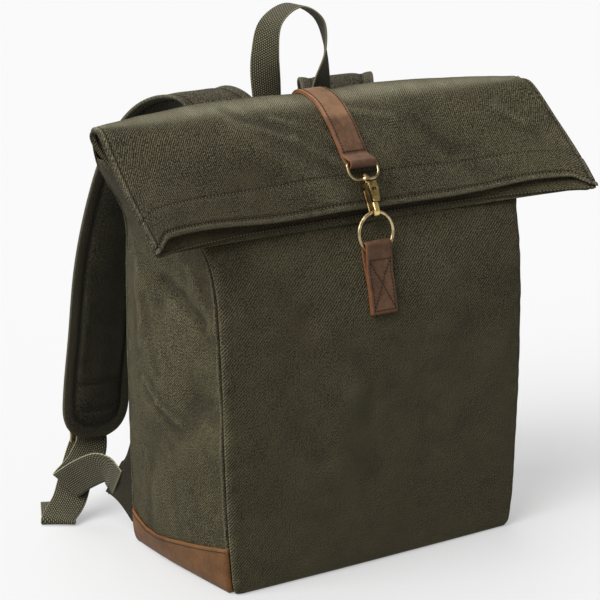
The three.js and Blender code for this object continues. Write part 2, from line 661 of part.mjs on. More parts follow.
// Webbing from the corner tab: over a folded corner, up to the buckle, round its middle bar and
// down behind itself to the floor, where the free end turns under
const WEBBING_PATH = [
  { p: [-150.3, 104.3, 51.9], w: [0, -0.55, 0.84] },
  { p: [-151, 109.5, 55.2], w: [-0.05, -0.55, 0.84] },
  { p: [-154.2, 119.5, 55.5], w: [-0.2, -0.35, 0.9] },
  { p: [-160.6, 137, 45.5], w: [-0.4, 0.1, 0.9] },
  { p: [-166.2, 148.5, 36.5], w: [-0.55, 0.33, 0.77] },
  { p: [-168.2, 153.8, 32.2], w: [-0.57, 0.4, 0.72] },
  { p: [-165.4, 156.6, 33.2], w: [-0.62, 0.43, 0.65] },
  { p: [-154.2, 158, 40.8], w: [-0.74, 0.51, 0.4] },
  { p: [-142.9, 163.5, 48], w: [-0.86, 0.45, 0.15] },
  { p: [-134, 169, 57], w: [-0.99, 0.06, 0.05] },
  { p: [-130.5, 173.6, 67], w: [-1, 0, 0] },
  { p: [-130.5, 174.1, 74], w: [-1, 0, 0] },
  { p: [-130.5, 177.2, 78], w: [-1, 0, 0] },
  { p: [-130.5, 180.3, 74], w: [-1, 0, 0] },
  { p: [-130.8, 180.4, 66], w: [-1, 0, 0] },
  { p: [-132, 180.2, 59], w: [-1, 0.05, 0] },
  { p: [-141.5, 173.5, 47], w: [-0.9, 0.38, 0] },
  { p: [-153.5, 163.5, 33], w: [-0.85, 0.5, 0.05] },
  { p: [-165, 154.5, 18], w: [-0.8, 0.58, 0.05] },
  { p: [-176, 149.5, 9], w: [-0.79, 0.62, 0] },
  { p: [-181.6, 145.6, 5.2], w: [-0.79, 0.62, 0] },
  { p: [-182.4, 144.6, 2.6], w: [-0.79, 0.62, 0] },
  { p: [-179.6, 148.2, 1.4], w: [-0.81, 0.58, 0] },
  { p: [-172.4, 162, 1.4], w: [-0.87, 0.48, 0] },
  { p: [-155.4, 195, 1.4], w: [-0.89, 0.45, 0] },
];

const mirrored = (side, x) => (side === 'left' ? x : -x);
const vectorOn = (side, [x, y, z]) => new THREE.Vector3(mirrored(side, x), y, z);

function padProfile(half, widthShare) {
  const w = (PAD_WIDTH / 2) * widthShare;
  const rim = Math.min(2, half);
  const shoulder = 0.86;
  const full = half * 0.9;
  const lower = [[-1, -rim], [-shoulder, -full], [0, -half], [shoulder, -full], [1, -rim]];
  const upper = [[1, rim], [shoulder, full], [0, half], [-shoulder, full], [-1, rim]];
  return [...lower, ...upper].map(([a, b]) => [a * w, b]);
}

function addShoulderStrap(side) {
  const across = new THREE.Vector3(1, 0, 0);
  const places = STRAP_PATH.map(({ x, y, z }) => ({ p: vectorOn(side, [x, y, z]), w: across }));
  const steps = 27;
  const stations = stationsAlong(places, steps);
  const toEnd = stations.map((station) => station.p.distanceTo(stations[steps].p));
  const geometry = sweep(stations, (k) => {
    const at = stations[k].t01 * (STRAP_PATH.length - 1);
    const row = Math.min(Math.floor(at), STRAP_PATH.length - 2);
    const half = THREE.MathUtils.lerp(STRAP_PATH[row].half, STRAP_PATH[row + 1].half, at - row);
    const past = Math.max(1 - toEnd[k] / STRAP_END_LENGTH, 0);
    return padProfile(half, (1 - 0.86 * past ** 2.6) ** (1 / 2.6));
  });
  addPiece(`${side}_shoulder_strap`, geometry, 'canvas');
}

// The slider: a frame with a middle bar, lying on the outside of the strap's end
function addBuckle(side) {
  const { width, height, bar, depth } = BUCKLE;
  const outline = new THREE.Shape(rectangle(width, height));
  const slotHeight = (height - 3 * bar) / 2;
  for (const up of [-1, 1]) {
    const slot = rectangle(width - 2 * bar, slotHeight, 0, (up * (slotHeight + bar)) / 2);
    outline.holes.push(new THREE.Path(slot));
  }
  const buckle = addPiece(`${side}_strap_buckle`, extrudeThrough(outline, depth, 0.5), 'brass');
  buckle.position.set(mirrored(side, -BUCKLE.x), BUCKLE.y, BUCKLE.z);
}

// Webbing folded round the buckle's top bar and sewn to the outside of the strap
function addKeeper(side) {
  const barZ = BUCKLE.z + (BUCKLE.height - BUCKLE.bar) / 2;
  const hole = 2.3;
  const outer = hole + WEBBING;
  const eye = new THREE.Vector2(BUCKLE.y, barZ);
  const steps = 10;
  const arc = Array.from({ length: steps + 1 }, (_, k) => {
    const turn = -Math.PI + (k / steps) * 1.25 * Math.PI;
    return new THREE.Vector2(eye.x + outer * Math.cos(turn), eye.y + outer * Math.sin(turn));
  });
  const rise = [[0, 12], [-0.3, 30], [-1.2, 52]];
  const inner = rise.map(([y, z]) => new THREE.Vector2(eye.x - outer + y, eye.y + z));
  const outside = inner.map((p) => new THREE.Vector2(p.x + 2 * WEBBING, p.y));
  const shape = new THREE.Shape([...arc, ...outside, ...inner.reverse()]);
  shape.holes.push(circleHole(eye, hole));
  const keeper = addPiece(`${side}_buckle_keeper`, extrudeAcross(shape, WEBBING_WIDTH), 'webbing');
  keeper.position.x = mirrored(side, -BUCKLE.x);
}

function addWebbing(side) {
  const places = WEBBING_PATH.map(({ p, w }) => ({
    p: vectorOn(side, p),
    w: vectorOn(side, w).multiplyScalar(side === 'left' ? 1 : -1),
  }));
  const band = sweep(stationsAlong(places, 66), flatBand(WEBBING_WIDTH, WEBBING));
  addPiece(`${side}_strap_webbing`, band, 'webbing');
}

// The folded canvas triangle between the bag's lower back corner and the webbing
function addStrapTab(side) {
  const thick = 3;
  const seam = { y: 79.8, low: 16, high: 88 };
  const apex = { low: { y: 113, z: 35 }, high: { y: 92, z: 67 } };
  const outline = new THREE.Shape([
    new THREE.Vector2(seam.y, seam.low),
    new THREE.Vector2(apex.low.y, apex.low.z),
    new THREE.Vector2(apex.high.y, apex.high.z),
    new THREE.Vector2(seam.y, seam.high),
  ]);
  const geometry = extrudeAcross(outline, thick, 0.5);
  const position = geometry.attributes.position;
  const [seamX, apexX] = [-144, -150.5];
  for (let k = 0; k < position.count; k += 1) {
    const share = (position.getY(k) - seam.y) / (apex.low.y - seam.y);
    position.setX(k, position.getX(k) + mirrored(side, THREE.MathUtils.lerp(seamX, apexX, share)));
  }
  addPiece(`${side}_strap_tab`, geometry, 'canvas');
}

addCloth();
addClasp();
addHandle();
for (const side of ['left', 'right']) {
  addShoulderStrap(side);
  addBuckle(side);
  addKeeper(side);
  addWebbing(side);
  addStrapTab(side);
}

export default backpack;
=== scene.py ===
# %% [markdown]
# # A waxed canvas roll-top backpack
# The bag stands on its base with the top of its cloth tube flattened, folded forward and clipped.
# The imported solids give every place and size. This lesson dresses them: fine cloth with folds and
# seams, leather with raw edges, antique brass, woven webbing, padded straps and rows of stitches.

# %% Load the frame
import math

import bmesh
import bpy
import numpy as np
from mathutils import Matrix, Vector


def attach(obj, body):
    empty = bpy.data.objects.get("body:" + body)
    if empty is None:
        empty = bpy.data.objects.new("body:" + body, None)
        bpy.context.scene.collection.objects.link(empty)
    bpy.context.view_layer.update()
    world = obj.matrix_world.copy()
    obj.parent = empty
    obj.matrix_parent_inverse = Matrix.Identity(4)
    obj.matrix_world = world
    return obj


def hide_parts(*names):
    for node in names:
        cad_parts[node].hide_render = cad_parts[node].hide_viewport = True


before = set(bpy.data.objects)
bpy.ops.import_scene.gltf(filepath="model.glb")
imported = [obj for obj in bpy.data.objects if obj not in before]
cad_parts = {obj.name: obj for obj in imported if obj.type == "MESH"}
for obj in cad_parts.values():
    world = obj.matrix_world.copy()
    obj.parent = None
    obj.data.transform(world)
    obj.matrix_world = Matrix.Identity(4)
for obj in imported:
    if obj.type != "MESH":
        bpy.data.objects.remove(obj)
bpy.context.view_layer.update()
scene = bpy.context.scene
MM = 0.001

# %% [markdown]
# ## Camera
# The photograph was taken with a long lens from the left front, a little above the bag.
# A lens, a place and a direction are enough to repeat it, and they come first because every
# later judgement is made through this camera.

# %% Camera
CAMERA_LENS = 135.06
SENSOR_WIDTH = 36
CAMERA_PLACE = Vector((-1.065, -1.500, 0.698))
CAMERA_FORWARD = Vector((0.5507, 0.7941, -0.2571))


def linked(name, data):
    """A new object in the scene that shows the data."""
    made = bpy.data.objects.new(name, data)
    scene.collection.objects.link(made)
    return made


def point(thing, axis, direction):
    """Turns a thing until one of its axes lies along a direction."""
    thing.rotation_mode = "QUATERNION"
    thing.rotation_quaternion = direction.to_track_quat(axis, "Y")


camera = linked("photo_camera", bpy.data.cameras.new("photo_camera"))
camera.data.lens = CAMERA_LENS
camera.data.sensor_width = SENSOR_WIDTH
camera.location = CAMERA_PLACE
point(camera, "-Z", CAMERA_FORWARD)
scene.camera = camera
print("camera:", round(CAMERA_PLACE.length, 3), "m from the base")

# %% [markdown]
# ## Shader sums
# A finish is a sum of small patterns: weave, slubs, wear, patina. Wiring each Math node by hand
# hides the idea, so one small class wraps a socket and lets Python's operators add the nodes.

# %% A socket that can be added up
class Wire:
    """A shader socket. Sums of wires and numbers add Math nodes; node() adds any other node."""

    def __init__(self, tree, socket=None):
        self.tree = tree
        self.socket = socket

    def node(self, kind, settings=None, sockets=None, out=0):
        made = self.tree.nodes.new("ShaderNode" + kind)
        for key, value in (settings or {}).items():
            setattr(made, key, value)
        for key, value in (sockets or {}).items():
            if isinstance(value, Wire):
                self.tree.links.new(value.socket, made.inputs[key])
            else:
                made.inputs[key].default_value = value
        return Wire(self.tree, made.outputs[out] if len(made.outputs) else None)

    def math(self, operation, *others):
        sockets = dict(enumerate((self, *others)))
        return self.node("Math", {"operation": operation}, sockets)

    def __add__(self, other):
        return self.math("ADD", other)

    def __sub__(self, other):
        return self.math("SUBTRACT", other)

    def __mul__(self, other):
        return self.math("MULTIPLY", other)

    def __truediv__(self, other):
        return self.math("DIVIDE", other)

    __radd__ = __add__
    __rmul__ = __mul__

    def sine(self):
        return self.math("SINE")

    def between(self, low, high):
        """0 below low, 1 above high, with a soft step between."""
        sockets = {"Value": self, "From Min": low, "From Max": high}
        return self.node("MapRange", {"interpolation_type": "SMOOTHSTEP"}, sockets)

    def tint(self, first, second):
        """The first colour where this wire is 0 and the second where it is 1."""
        return self.node("Mix", {"data_type": "RGBA"}, {0: self, 6: first, 7: second}, out=2)

    def part(self, axis):
        """One number of a vector, 0 for x and 1 for y."""
        return self.node("SeparateXYZ", sockets={0: self}, out=axis)

    def noise(self, scale, detail, rough=0.5):
        """A cloudy pattern over the places that this wire holds."""
        sockets = {"Vector": self, "Scale": scale, "Detail": detail, "Roughness": rough}
        return self.node("TexNoise", sockets=sockets)

    def bump(self, distance, strength):
        """This wire as a height that bends the light."""
        sockets = {"Height": self, "Distance": distance, "Strength": strength}
        return self.node("Bump", sockets=sockets)

    def spot(self):
        """The place on the object."""
        return self.node("TexCoord", out=3)

    def cloth(self):
        """The place on the flat cloth, in metres across and along."""
        return self.node("UVMap", {"uv_map": "cloth"})

    def stored(self, label):
        """A value that the mesh keeps at its points."""
        return self.node("Attribute", {"attribute_name": label}, out=2)


def start_finish(name):
    material = bpy.data.materials.new(name)
    material.use_nodes = True
    material.node_tree.nodes.clear()
    return material, Wire(material.node_tree)


def close_finish(wire, sockets):
    shader = wire.node("BsdfPrincipled", sockets=sockets)
    wire.node("OutputMaterial", sockets={"Surface": shader})


def colour(red, green, blue):
    """A colour written as on a screen, 0 to 255, made linear for the shader."""
    shares = [channel / 255 for channel in (red, green, blue)]
    linear = [s / 12.92 if s <= 0.04045 else ((s + 0.055) / 1.055) ** 2.4 for s in shares]
    return (*linear, 1.0)


print("middle grey of a screen is", round(colour(128, 128, 128)[0], 3), "in the shader")

# %% [markdown]
# ## Floor and light
# The floor is pale and glows a little, so that it stays near white as the backdrop does.
# The light is one large soft key from the upper left, a weaker one from behind that finds the
# top edges, and an even fill, so the left side is lighter than the front.

# %% Floor and light
FLOOR_HALF = 20.0
FLOOR_GREY, FLOOR_GLOW = 0.36, 0.36
SUN_STRENGTH = 4.4
SUN_FROM = Vector((-0.72, -0.11, 0.68))
SUN_SOFTNESS = math.radians(50)
FILL_STRENGTH = 0.34
BACK_STRENGTH = 1.3
BACK_FROM = Vector((0.12, 0.50, 0.86))
BACK_SOFTNESS = math.radians(40)
WHITE = (1, 1, 1, 1)

floor_mesh = bpy.data.meshes.new("floor")
corners = [(-1, -1), (1, -1), (1, 1), (-1, 1)]
floor_mesh.from_pydata([(x * FLOOR_HALF, y * FLOOR_HALF, 0) for x, y in corners], [], [(0, 1, 2, 3)])
floor = linked("floor", floor_mesh)
floor.visible_diffuse = False
floor_paint, wire = start_finish("pale_floor")
close_finish(wire, {
    "Base Color": (FLOOR_GREY, FLOOR_GREY, FLOOR_GREY, 1),
    "Roughness": 0.9,
    "Specular IOR Level": 0.0,
    "Emission Color": WHITE,
    "Emission Strength": FLOOR_GLOW,
})
floor_mesh.materials.append(floor_paint)


def soft_sun(name, strength, source, softness):
    light = bpy.data.lights.new(name, "SUN")
    light.energy = strength
    light.angle = softness
    point(linked(name, light), "Z", source)


soft_sun("key_light", SUN_STRENGTH, SUN_FROM, SUN_SOFTNESS)
soft_sun("back_light", BACK_STRENGTH, BACK_FROM, BACK_SOFTNESS)

world = bpy.data.worlds.new("studio")
scene.world = world
world.use_nodes = True
world.node_tree.nodes.clear()
wire = Wire(world.node_tree)
seen_directly = wire.node("LightPath")
fill = wire.node("Background", sockets={"Color": WHITE, "Strength": FILL_STRENGTH})
backdrop = wire.node("Background", sockets={"Color": WHITE, "Strength": 1.0})
both = wire.node("MixShader", sockets={0: seen_directly, 1: fill, 2: backdrop})
wire.node("OutputWorld", sockets={"Surface": both})
scene.view_settings.view_transform = "Standard"
print("light: key", SUN_STRENGTH, "back", BACK_STRENGTH, "fill", FILL_STRENGTH)

# %% [markdown]
# ## Waxed canvas
# The cloth is a cotton twill soaked in wax, with its ribs at 45 degrees. Wax pools in dark brown
# patches, rubs off to a pale dusty olive on seams, hems and folds, and slubs leave short streaks
# along the warp. The same pale olive is also a painted sheen on the roll's crest, and seam grooves,
# stitch dents, hollows, the front panel and the corner tabs are darkened with painted shade. The
# weave is measured in metres along the cloth's own UV map, so it bends with every fold. A small
# table says how strongly each panel shows its ribs and slubs.

# %% Canvas finish
TWILL_SLOPE = math.radians(45)


def waxed_canvas(name, weave, deep, olive, brown, worn_and_sheen):
    pitch, ribbing, slubs = weave
    material, wire = start_finish(name)
    spot, cloth = wire.spot(), wire.cloth()
    wear, dusk = wire.stored("wear"), wire.stored("dusk")

    def stretched(size_across, size_along):
        scale = (1 / size_across, 1 / size_along, 1)
        return wire.node("Mapping", sockets={"Vector": cloth, "Scale": scale})

    grain = stretched(0.0010, 0.0013).noise(1.0, 1, 0.55)
    slub = stretched(0.0018, 0.010).noise(1.0, 2, 0.55)
    mottle = spot.noise(34, 4, 0.6)
    patch = spot.noise(9, 3, 0.55)
    wobble = (cloth.noise(90, 2, 0.55) - 0.5) * 4.0
    turn = 2 * math.pi / pitch
    phase = cloth.part(0) * (turn * math.sin(TWILL_SLOPE)) - cloth.part(1) * (turn * math.cos(TWILL_SLOPE))
    rib = (phase + wobble).sine() * 0.5 + 0.5

    thread = rib * ribbing * (0.5 + mottle * 1.2) + (grain - 0.5) * 7.2 + (slub - 0.5) * slubs
    light = (thread + (mottle - 0.5) * 0.8).between(-0.5, 1.6)
    base = light.tint(deep, olive)
    stain = patch.between(0.48, 0.68) * mottle.between(0.3, 0.7) * 0.45
    base = stain.tint(base, brown)
    # The pale colour marks wear on seams, hems, creases and ridges, and a painted sheen on the roll's
    # crest.
    rubbed_and_sheen = (wear * (0.3 + grain * 0.9 + rib * 0.3)).between(0.05, 1.0)
    base = (rubbed_and_sheen * 0.85).tint(base, worn_and_sheen)
    # The stored shade value darkens the cloth towards deep: painted shade in grooves, stitch dents,
    # hollows, on the front panel and on the corner tabs. On the padded straps it also carries the lining's
    # darker cloth.
    base = (dusk * 0.75).tint(base, deep)
    close_finish(wire, {
        "Base Color": base,
        "Roughness": 0.62 + grain * 0.25 - stain * 0.12,
        "Specular IOR Level": 0.15,
        "Normal": (rib * 0.6 + grain * 0.9 + slub * 0.3).bump(0.0007, 0.9),
    })
    return material


# Pitch in metres, strength of the ribs and strength of the slubs
PANEL_WEAVE = {
    "front": (0.0021, 1.15, 1.5),
    "back": (0.0015, 0.8, 1.5),
    "left": (0.0015, 0.75, 2.0),
    "right": (0.0015, 0.75, 2.0),
}
STRAP_WEAVE = (0.0014, 0.7, 1.5)
CANVAS = {}
for panel_name, weave in PANEL_WEAVE.items():
    CANVAS[panel_name] = waxed_canvas(
        panel_name + "_waxed_canvas",
        weave,
        deep=colour(26, 23, 15),
        olive=colour(96, 90, 66),
        brown=colour(56, 43, 28),
        worn_and_sheen=colour(140, 136, 112),
    )
STRAP_CANVAS = waxed_canvas(
    "strap_canvas",
    STRAP_WEAVE,
    deep=colour(24, 22, 16),
    olive=colour(104, 98, 77),
    brown=colour(50, 41, 29),
    worn_and_sheen=colour(120, 116, 94),
)
print("canvas finishes:", len(CANVAS) + 1)

# %% [markdown]
# ## Leather
# The strap, tab and trims are oiled brown leather, cut with raw edges that show an orange core.
# Each leather mesh carries an attribute called edge, so one finish can colour both.

# %% Leather finish
def oiled_leather(name, dark, brown, tan, raw):
    material, wire = start_finish(name)
    spot, edge, wear = wire.spot(), wire.stored("edge"), wire.stored("wear")
    broad = spot.noise(40, 4, 0.6)
    fine = spot.noise(260, 4, 0.65)
    pores = wire.node("TexVoronoi", sockets={"Vector": spot, "Scale": 1100})
    base = (broad * 0.7 + fine * 0.5).between(0.35, 0.85).tint(dark, brown)
    # Tan comes with broad noise and with wear on the trims, and on the closure strap's top it is a painted
    # sheen.
    base = ((broad * 0.6 + wear).between(0.42, 1.0) * 0.8).tint(base, tan)
    base = (edge.between(0.3, 0.7) * (0.7 + fine * 0.3)).tint(base, raw)
    close_finish(wire, {
        "Base Color": base,
        "Roughness": 0.48 + fine * 0.22 + edge * 0.2,
        "Specular IOR Level": 0.25,
        "Normal": (fine * 0.8 + pores * 0.6 + broad * 0.5).bump(0.0003, 0.6),
    })
    return material


LEATHER = oiled_leather(
    "oiled_leather",
    dark=colour(70, 48, 34),
    brown=colour(112, 82, 60),
    tan=colour(160, 122, 90),
    raw=colour(120, 70, 36),
)
TRIM_LEATHER = oiled_leather(
    "trim_leather",
    dark=colour(72, 45, 22),
    brown=colour(110, 75, 40),
    tan=colour(130, 91, 48),
    raw=colour(124, 76, 36),
)
print("leather finishes:", LEATHER.name, TRIM_LEATHER.name)

# %% [markdown]
# ## Antique brass
# The hardware is plated and then darkened, and the front of the hook gets a painted highlight in a
# brighter colour.
# Metal needs little colour of its own; the patina is a soft noise in colour and roughness.

# %% Brass finish
HIGHLIGHT_BRASS = colour(224, 196, 132)


def antique_brass(name, bright, patina):
    material, wire = start_finish(name)
    fleck = wire.spot().noise(900, 2)
    dull = (wire.spot().noise(150, 4) * 0.8 + fleck * 0.4).between(0.45, 0.8)
    # The stored value on the hook tints it towards a brighter colour: a painted highlight on its front.
    close_finish(wire, {
        "Base Color": wire.stored("wear").tint(dull.tint(bright, patina), HIGHLIGHT_BRASS),
        "Metallic": 1.0,
        "Roughness": 0.27 + dull * 0.18,
        "Normal": fleck.bump(0.0001, 0.35),
    })
    return material


BRASS = antique_brass("antique_brass", bright=colour(206, 186, 146), patina=colour(122, 100, 66))
DARK_BRASS = antique_brass("dark_brass", bright=colour(150, 122, 78), patina=colour(66, 51, 33))
LEVER_BRASS = antique_brass("lever_brass", bright=colour(190, 162, 104), patina=colour(112, 88, 46))
print("metal finishes:", BRASS.name, DARK_BRASS.name, LEVER_BRASS.name)

# %% [markdown]
# ## Webbing and thread
# The webbing is thick cotton in a basket weave: rows of small pale knots with dark gaps, each
# row shifted by half a knot, and a firm selvage along both sides.

# %% Webbing and thread finishes
KNOT_ACROSS = 0.0018
KNOT_ALONG = 0.0021


def cotton_webbing(name, gap, olive, pale):
    material, wire = start_finish(name)
    cloth, wear, edge = wire.cloth(), wire.stored("wear"), wire.stored("edge")
    column = cloth.part(0) / KNOT_ACROSS
    shift = column.math("FLOOR").math("MODULO", 2.0) * 0.5
    bar = (column * math.pi).sine().math("ABSOLUTE")
    knot = ((cloth.part(1) / KNOT_ALONG + shift) * math.pi).sine().math("ABSOLUTE")
    bead = (bar * knot).between(0.15, 0.75)
    fuzz = cloth.noise(1500, 2)
    fade = cloth.noise(45, 2)
    # The pale knots are the weave; the paler selvage edges are a painted highlight.
    pale_knots_and_sheen = (bead * fuzz).between(0.35, 0.8) * (0.45 + fade * 0.5) + wear * 0.5 + edge * 0.55
    close_finish(wire, {
        "Base Color": pale_knots_and_sheen.tint(bead.tint(gap, olive), pale),
        "Roughness": 0.78 + fuzz * 0.15,
        "Specular IOR Level": 0.2,
        "Sheen Weight": 0.1,
        "Normal": (bead + fuzz * 0.3).bump(0.0006, 0.9),
    })
    return material


def waxed_thread(name, tone, glint):
    material, wire = start_finish(name)
    twist = wire.spot().noise(2500, 1)
    close_finish(wire, {
        "Base Color": twist.tint(tone, glint),
        "Roughness": 0.55 + twist * 0.2,
        "Specular IOR Level": 0.3,
    })
    return material


WEBBING = cotton_webbing(
    "cotton_webbing",
    gap=colour(26, 23, 14),
    olive=colour(84, 79, 56),
    pale=colour(164, 158, 124),
)
OLIVE_THREAD = waxed_thread("olive_thread", colour(20, 18, 12), colour(46, 42, 30))
DARK_THREAD = waxed_thread("dark_thread", colour(14, 10, 7), colour(34, 25, 18))
HEM_THREAD = waxed_thread("hem_thread", colour(62, 56, 40), colour(112, 105, 80))
print("webbing and thread:", WEBBING.name, OLIVE_THREAD.name, DARK_THREAD.name, HEM_THREAD.name)

# %% [markdown]
# ## The cloth tube
# The whole bag is one tube of cloth: a table of sections from base to mouth, each with a middle,
# a lean and the places of its seams. The same table made the solids. Here it is sampled every
# few millimetres, so that creases, puckers and hems can be real geometry.

# %% Section table
COLUMNS = [
    "y", "z", "lean", "seam_x", "seam_n", "front", "back", "side", "round", "end_y", "end_z", "tuck",
]
SECTIONS = np.array([
    [0, 1, 0, 141, 79, 1, 1, 1, 5, 0, 0, 0],
    [0, 8, 0, 144, 80.5, 2, 1.5, 5, 5, 0, 0, 0],
    [-1, 30, 0, 146.5, 80, 3, 3, 9, 5, 0, 0, 0],
    [-2, 70, 0, 149, 78.5, 5, 4, 12, 5, 0, 0, 0],
    [-3, 120, 0, 151, 77.5, 5.5, 5, 13, 5, 0, 0, 0],
    [-3, 170, 0, 152, 77, 5.5, 5, 13, 5, 0, 0, 0],
    [-3, 220, 0, 153, 75, 3.5, 5, 12, 5, 0, 0, 0],
    [-2, 256, 0, 154, 71.5, -1.5, 5, 10, 5, 0, 0, 0],
    [-1, 284, 0, 158, 63, -8, 5, 8, 5, 0, 0, 0],
    [0, 306, 0, 171, 49, -5, 5, 4, 4, 0, 0, 0],
    [4, 326, 0, 191, 30, -1, 5, 2, 3, -4, 0, 0],
    [17, 346, 0, 209, 13.5, 2, 4, 0.6, 1.5, -17, -0.5, 0],
    [26, 361.5, 0, 217, 5.6, 2.5, 3, 0, 0.4, -26, -2, 0],
    [27.5, 373.5, 20, 220, 3.2, 2, 2, 0, 0, -26.5, -4, 2],
    [20, 380.5, 70, 221, 3.2, 2, 2, 0, 0, -20, -4.5, 9],
    [0.5, 376.5, 107, 221, 2.7, 2.5, 2.5, 0, 0, -5.7, 1.2, 15],
    [-13, 366.5, 128, 221, 2.7, 2.5, 2.5, 0, 0, -0.5, 7.5, 8],
    [-27.5, 351, 142, 221, 2.7, 2.8, 2.8, 0, 0, -13, -7, 1],
    [-44.5, 321, 151, 221, 2.7, 2.6, 2.6, 0, 0, -27.5, -5, 0],
    [-57.3, 297.5, 157, 220, 2.7, 2.6, 2.6, 0, 0, -35, -0.5, 0],
    [-60.9, 289, 160, 220, 2.7, 2.6, 2.6, 0, 0, -32.5, 8, 0],
])
LAST_ROW = {"front": 20.0, "back": 19.0, "left": 11.5, "right": 11.5}
CLOTH_THICK = 2 * MM
SEAM_GAP = 0.7


def spline(a, b, c, d, t):
    """A smooth curve from b to c as t goes from 0 to 1, steered by a before and d after them."""
    bend = 2 * a - 5 * b + 4 * c - d
    twist = 3 * b - a - 3 * c + d
    return 0.5 * (2 * b + (c - a) * t + bend * t**2 + twist * t**3)


def walked_along(points):
    """The distance along a line from its first point to every point."""
    steps = np.linalg.norm(np.diff(points, axis=0), axis=1)
    return np.concatenate([[0], np.cumsum(steps)])


def section_at(row):
    """The table's columns at a place between two sections, as a smooth blend in millimetres."""
    last = len(SECTIONS) - 1
    k = min(int(row), last - 1)
    around = (SECTIONS[min(max(n, 0), last)] for n in (k - 1, k, k + 1, k + 2))
    blended = dict(zip(COLUMNS, spline(*around, row - k)))
    for column in ("round", "side", "tuck"):
        blended[column] = max(blended[column], 0)
    return blended


def panel_outline(section, bulge):
    """A front or back panel's section from seam to seam, as x and distance out."""
    rounding = section["round"]
    flat = section["seam_x"] - rounding
    turn = np.linspace(0, math.pi / 2, 6)
    corner_x = -flat - rounding * np.cos(turn)
    corner_n = section["seam_n"] - rounding + rounding * np.sin(turn)
    middle_x = flat * np.linspace(-1, 1, 49)[1:-1]
    middle_n = section["seam_n"] + bulge * (1 - (middle_x / flat) ** 2)
    x = np.concatenate([corner_x, middle_x, -corner_x[::-1]])
    return x, np.concatenate([corner_n, middle_n, corner_n[::-1]])


def gusset_outline(section):
    half = section["seam_n"] - max(section["round"], 2) - SEAM_GAP
    n = half * np.linspace(-1, 1, 33)
    return section["seam_x"] + section["side"] * (1 - (n / half) ** 2), n


def section_line(panel, row, shares):
    """Places on the outer face of a panel along one section, in metres, and the section's length."""
    section = section_at(row)
    if panel in ("front", "back"):
        x, n = panel_outline(section, section[panel])
    else:
        x, n = gusset_outline(section)
    walked = walked_along(np.stack([x, n], axis=-1))
    at_x = np.interp(shares * walked[-1], walked, x)
    at_n = np.interp(shares * walked[-1], walked, n)
    if panel in ("back", "left"):
        at_x = -at_x
    if panel in ("front", "left"):
        at_n = -at_n
    lean = math.radians(section["lean"])
    end = np.abs(at_x / section["seam_x"]) ** 3
    y = section["y"] + at_n * math.cos(lean) + section["end_y"] * end
    z = section["z"] + at_n * math.sin(lean) + section["end_z"] * end
    at_x = np.where(at_x > 0, at_x - section["tuck"] * end, at_x)
    return np.stack([at_x, y, z], axis=-1) * MM, walked[-1] * MM


print("cloth tube:", len(SECTIONS), "sections")

# %% [markdown]
# ## Folds, creases and puckers
# Every fold is a soft ridge or valley along a line. The large ones are in the solids too; the
# small creases are read from the photograph. On top of them lies a smooth seeded noise, which
# gives the slack of cloth that has been packed and unpacked.

# %% Fold tables
FOLDS = [
    # panel, start (across, row), end (across, row), width mm, depth mm
    ("left", (0.75, 7.6), (0.35, 6.0), 22, -4.0),
    ("left", (0.85, 4.7), (0.35, 3.6), 20, -4.0),
    ("left", (0.25, 6.4), (0.60, 4.6), 18, 3.0),
    ("right", (0.25, 7.6), (0.65, 6.0), 22, -4.0),
    ("right", (0.15, 4.7), (0.65, 3.6), 20, -4.0),
    ("back", (0.72, 16.4), (0.56, 18.6), 16, 4.0),
    ("back", (0.30, 16.6), (0.22, 18.4), 18, -3.0),
    ("front", (0.10, 7.4), (0.25, 6.2), 22, -2.5),
    ("back", (0.50, 13.0), (0.50, 16.2), 34, -2.5),
]
CREASES = [
    ("left", (0.34, 4.85), (0.50, 4.55), 3.6, 2.3),
    ("left", (0.50, 4.55), (0.66, 4.30), 3.6, 2.2),
    ("left", (0.38, 4.60), (0.66, 4.12), 6, -1.5),
    ("left", (0.50, 6.75), (0.69, 6.54), 7, -3.0),
    ("left", (0.69, 6.54), (0.88, 6.15), 7, -2.8),
    ("left", (0.20, 7.00), (0.27, 5.40), 6, 1.4),
    ("left", (0.27, 6.18), (0.50, 5.08), 7, -1.5),
    ("left", (0.78, 7.30), (0.96, 6.05), 6, 1.5),
    ("left", (0.34, 3.30), (0.24, 1.90), 8, -1.4),
    ("right", (0.30, 6.60), (0.52, 6.30), 7, -1.2),
    ("right", (0.66, 4.85), (0.36, 4.30), 5, 0.9),
    ("back", (0.70, 16.25), (0.615, 16.92), 5, 1.3),
    ("back", (0.615, 16.92), (0.53, 17.70), 6, 1.1),
    ("back", (0.64, 15.80), (0.60, 16.25), 4, 0.7),
    ("back", (0.725, 15.00), (0.68, 16.56), 6, -1.0),
    ("back", (0.47, 15.80), (0.38, 16.50), 5, 0.9),
    ("back", (0.33, 16.77), (0.27, 17.65), 8, -1.1),
    ("back", (0.53, 16.49), (0.50, 17.08), 8, -0.9),
    ("back", (0.13, 16.60), (0.085, 17.05), 6, 1.0),
    ("back", (0.12, 16.90), (0.07, 17.40), 8, -1.0),
    ("front", (0.30, 5.70), (0.40, 4.80), 16, 1.6),
    ("front", (0.40, 4.80), (0.35, 3.40), 16, 1.3),
    ("front", (0.42, 5.20), (0.47, 3.30), 14, -1.4),
    ("front", (0.68, 7.05), (0.74, 6.50), 10, 1.0),
    ("front", (0.23, 4.40), (0.29, 3.67), 12, -1.0),
]
NOISE_SEED = {"front": 11, "back": 23, "left": 37, "right": 41}


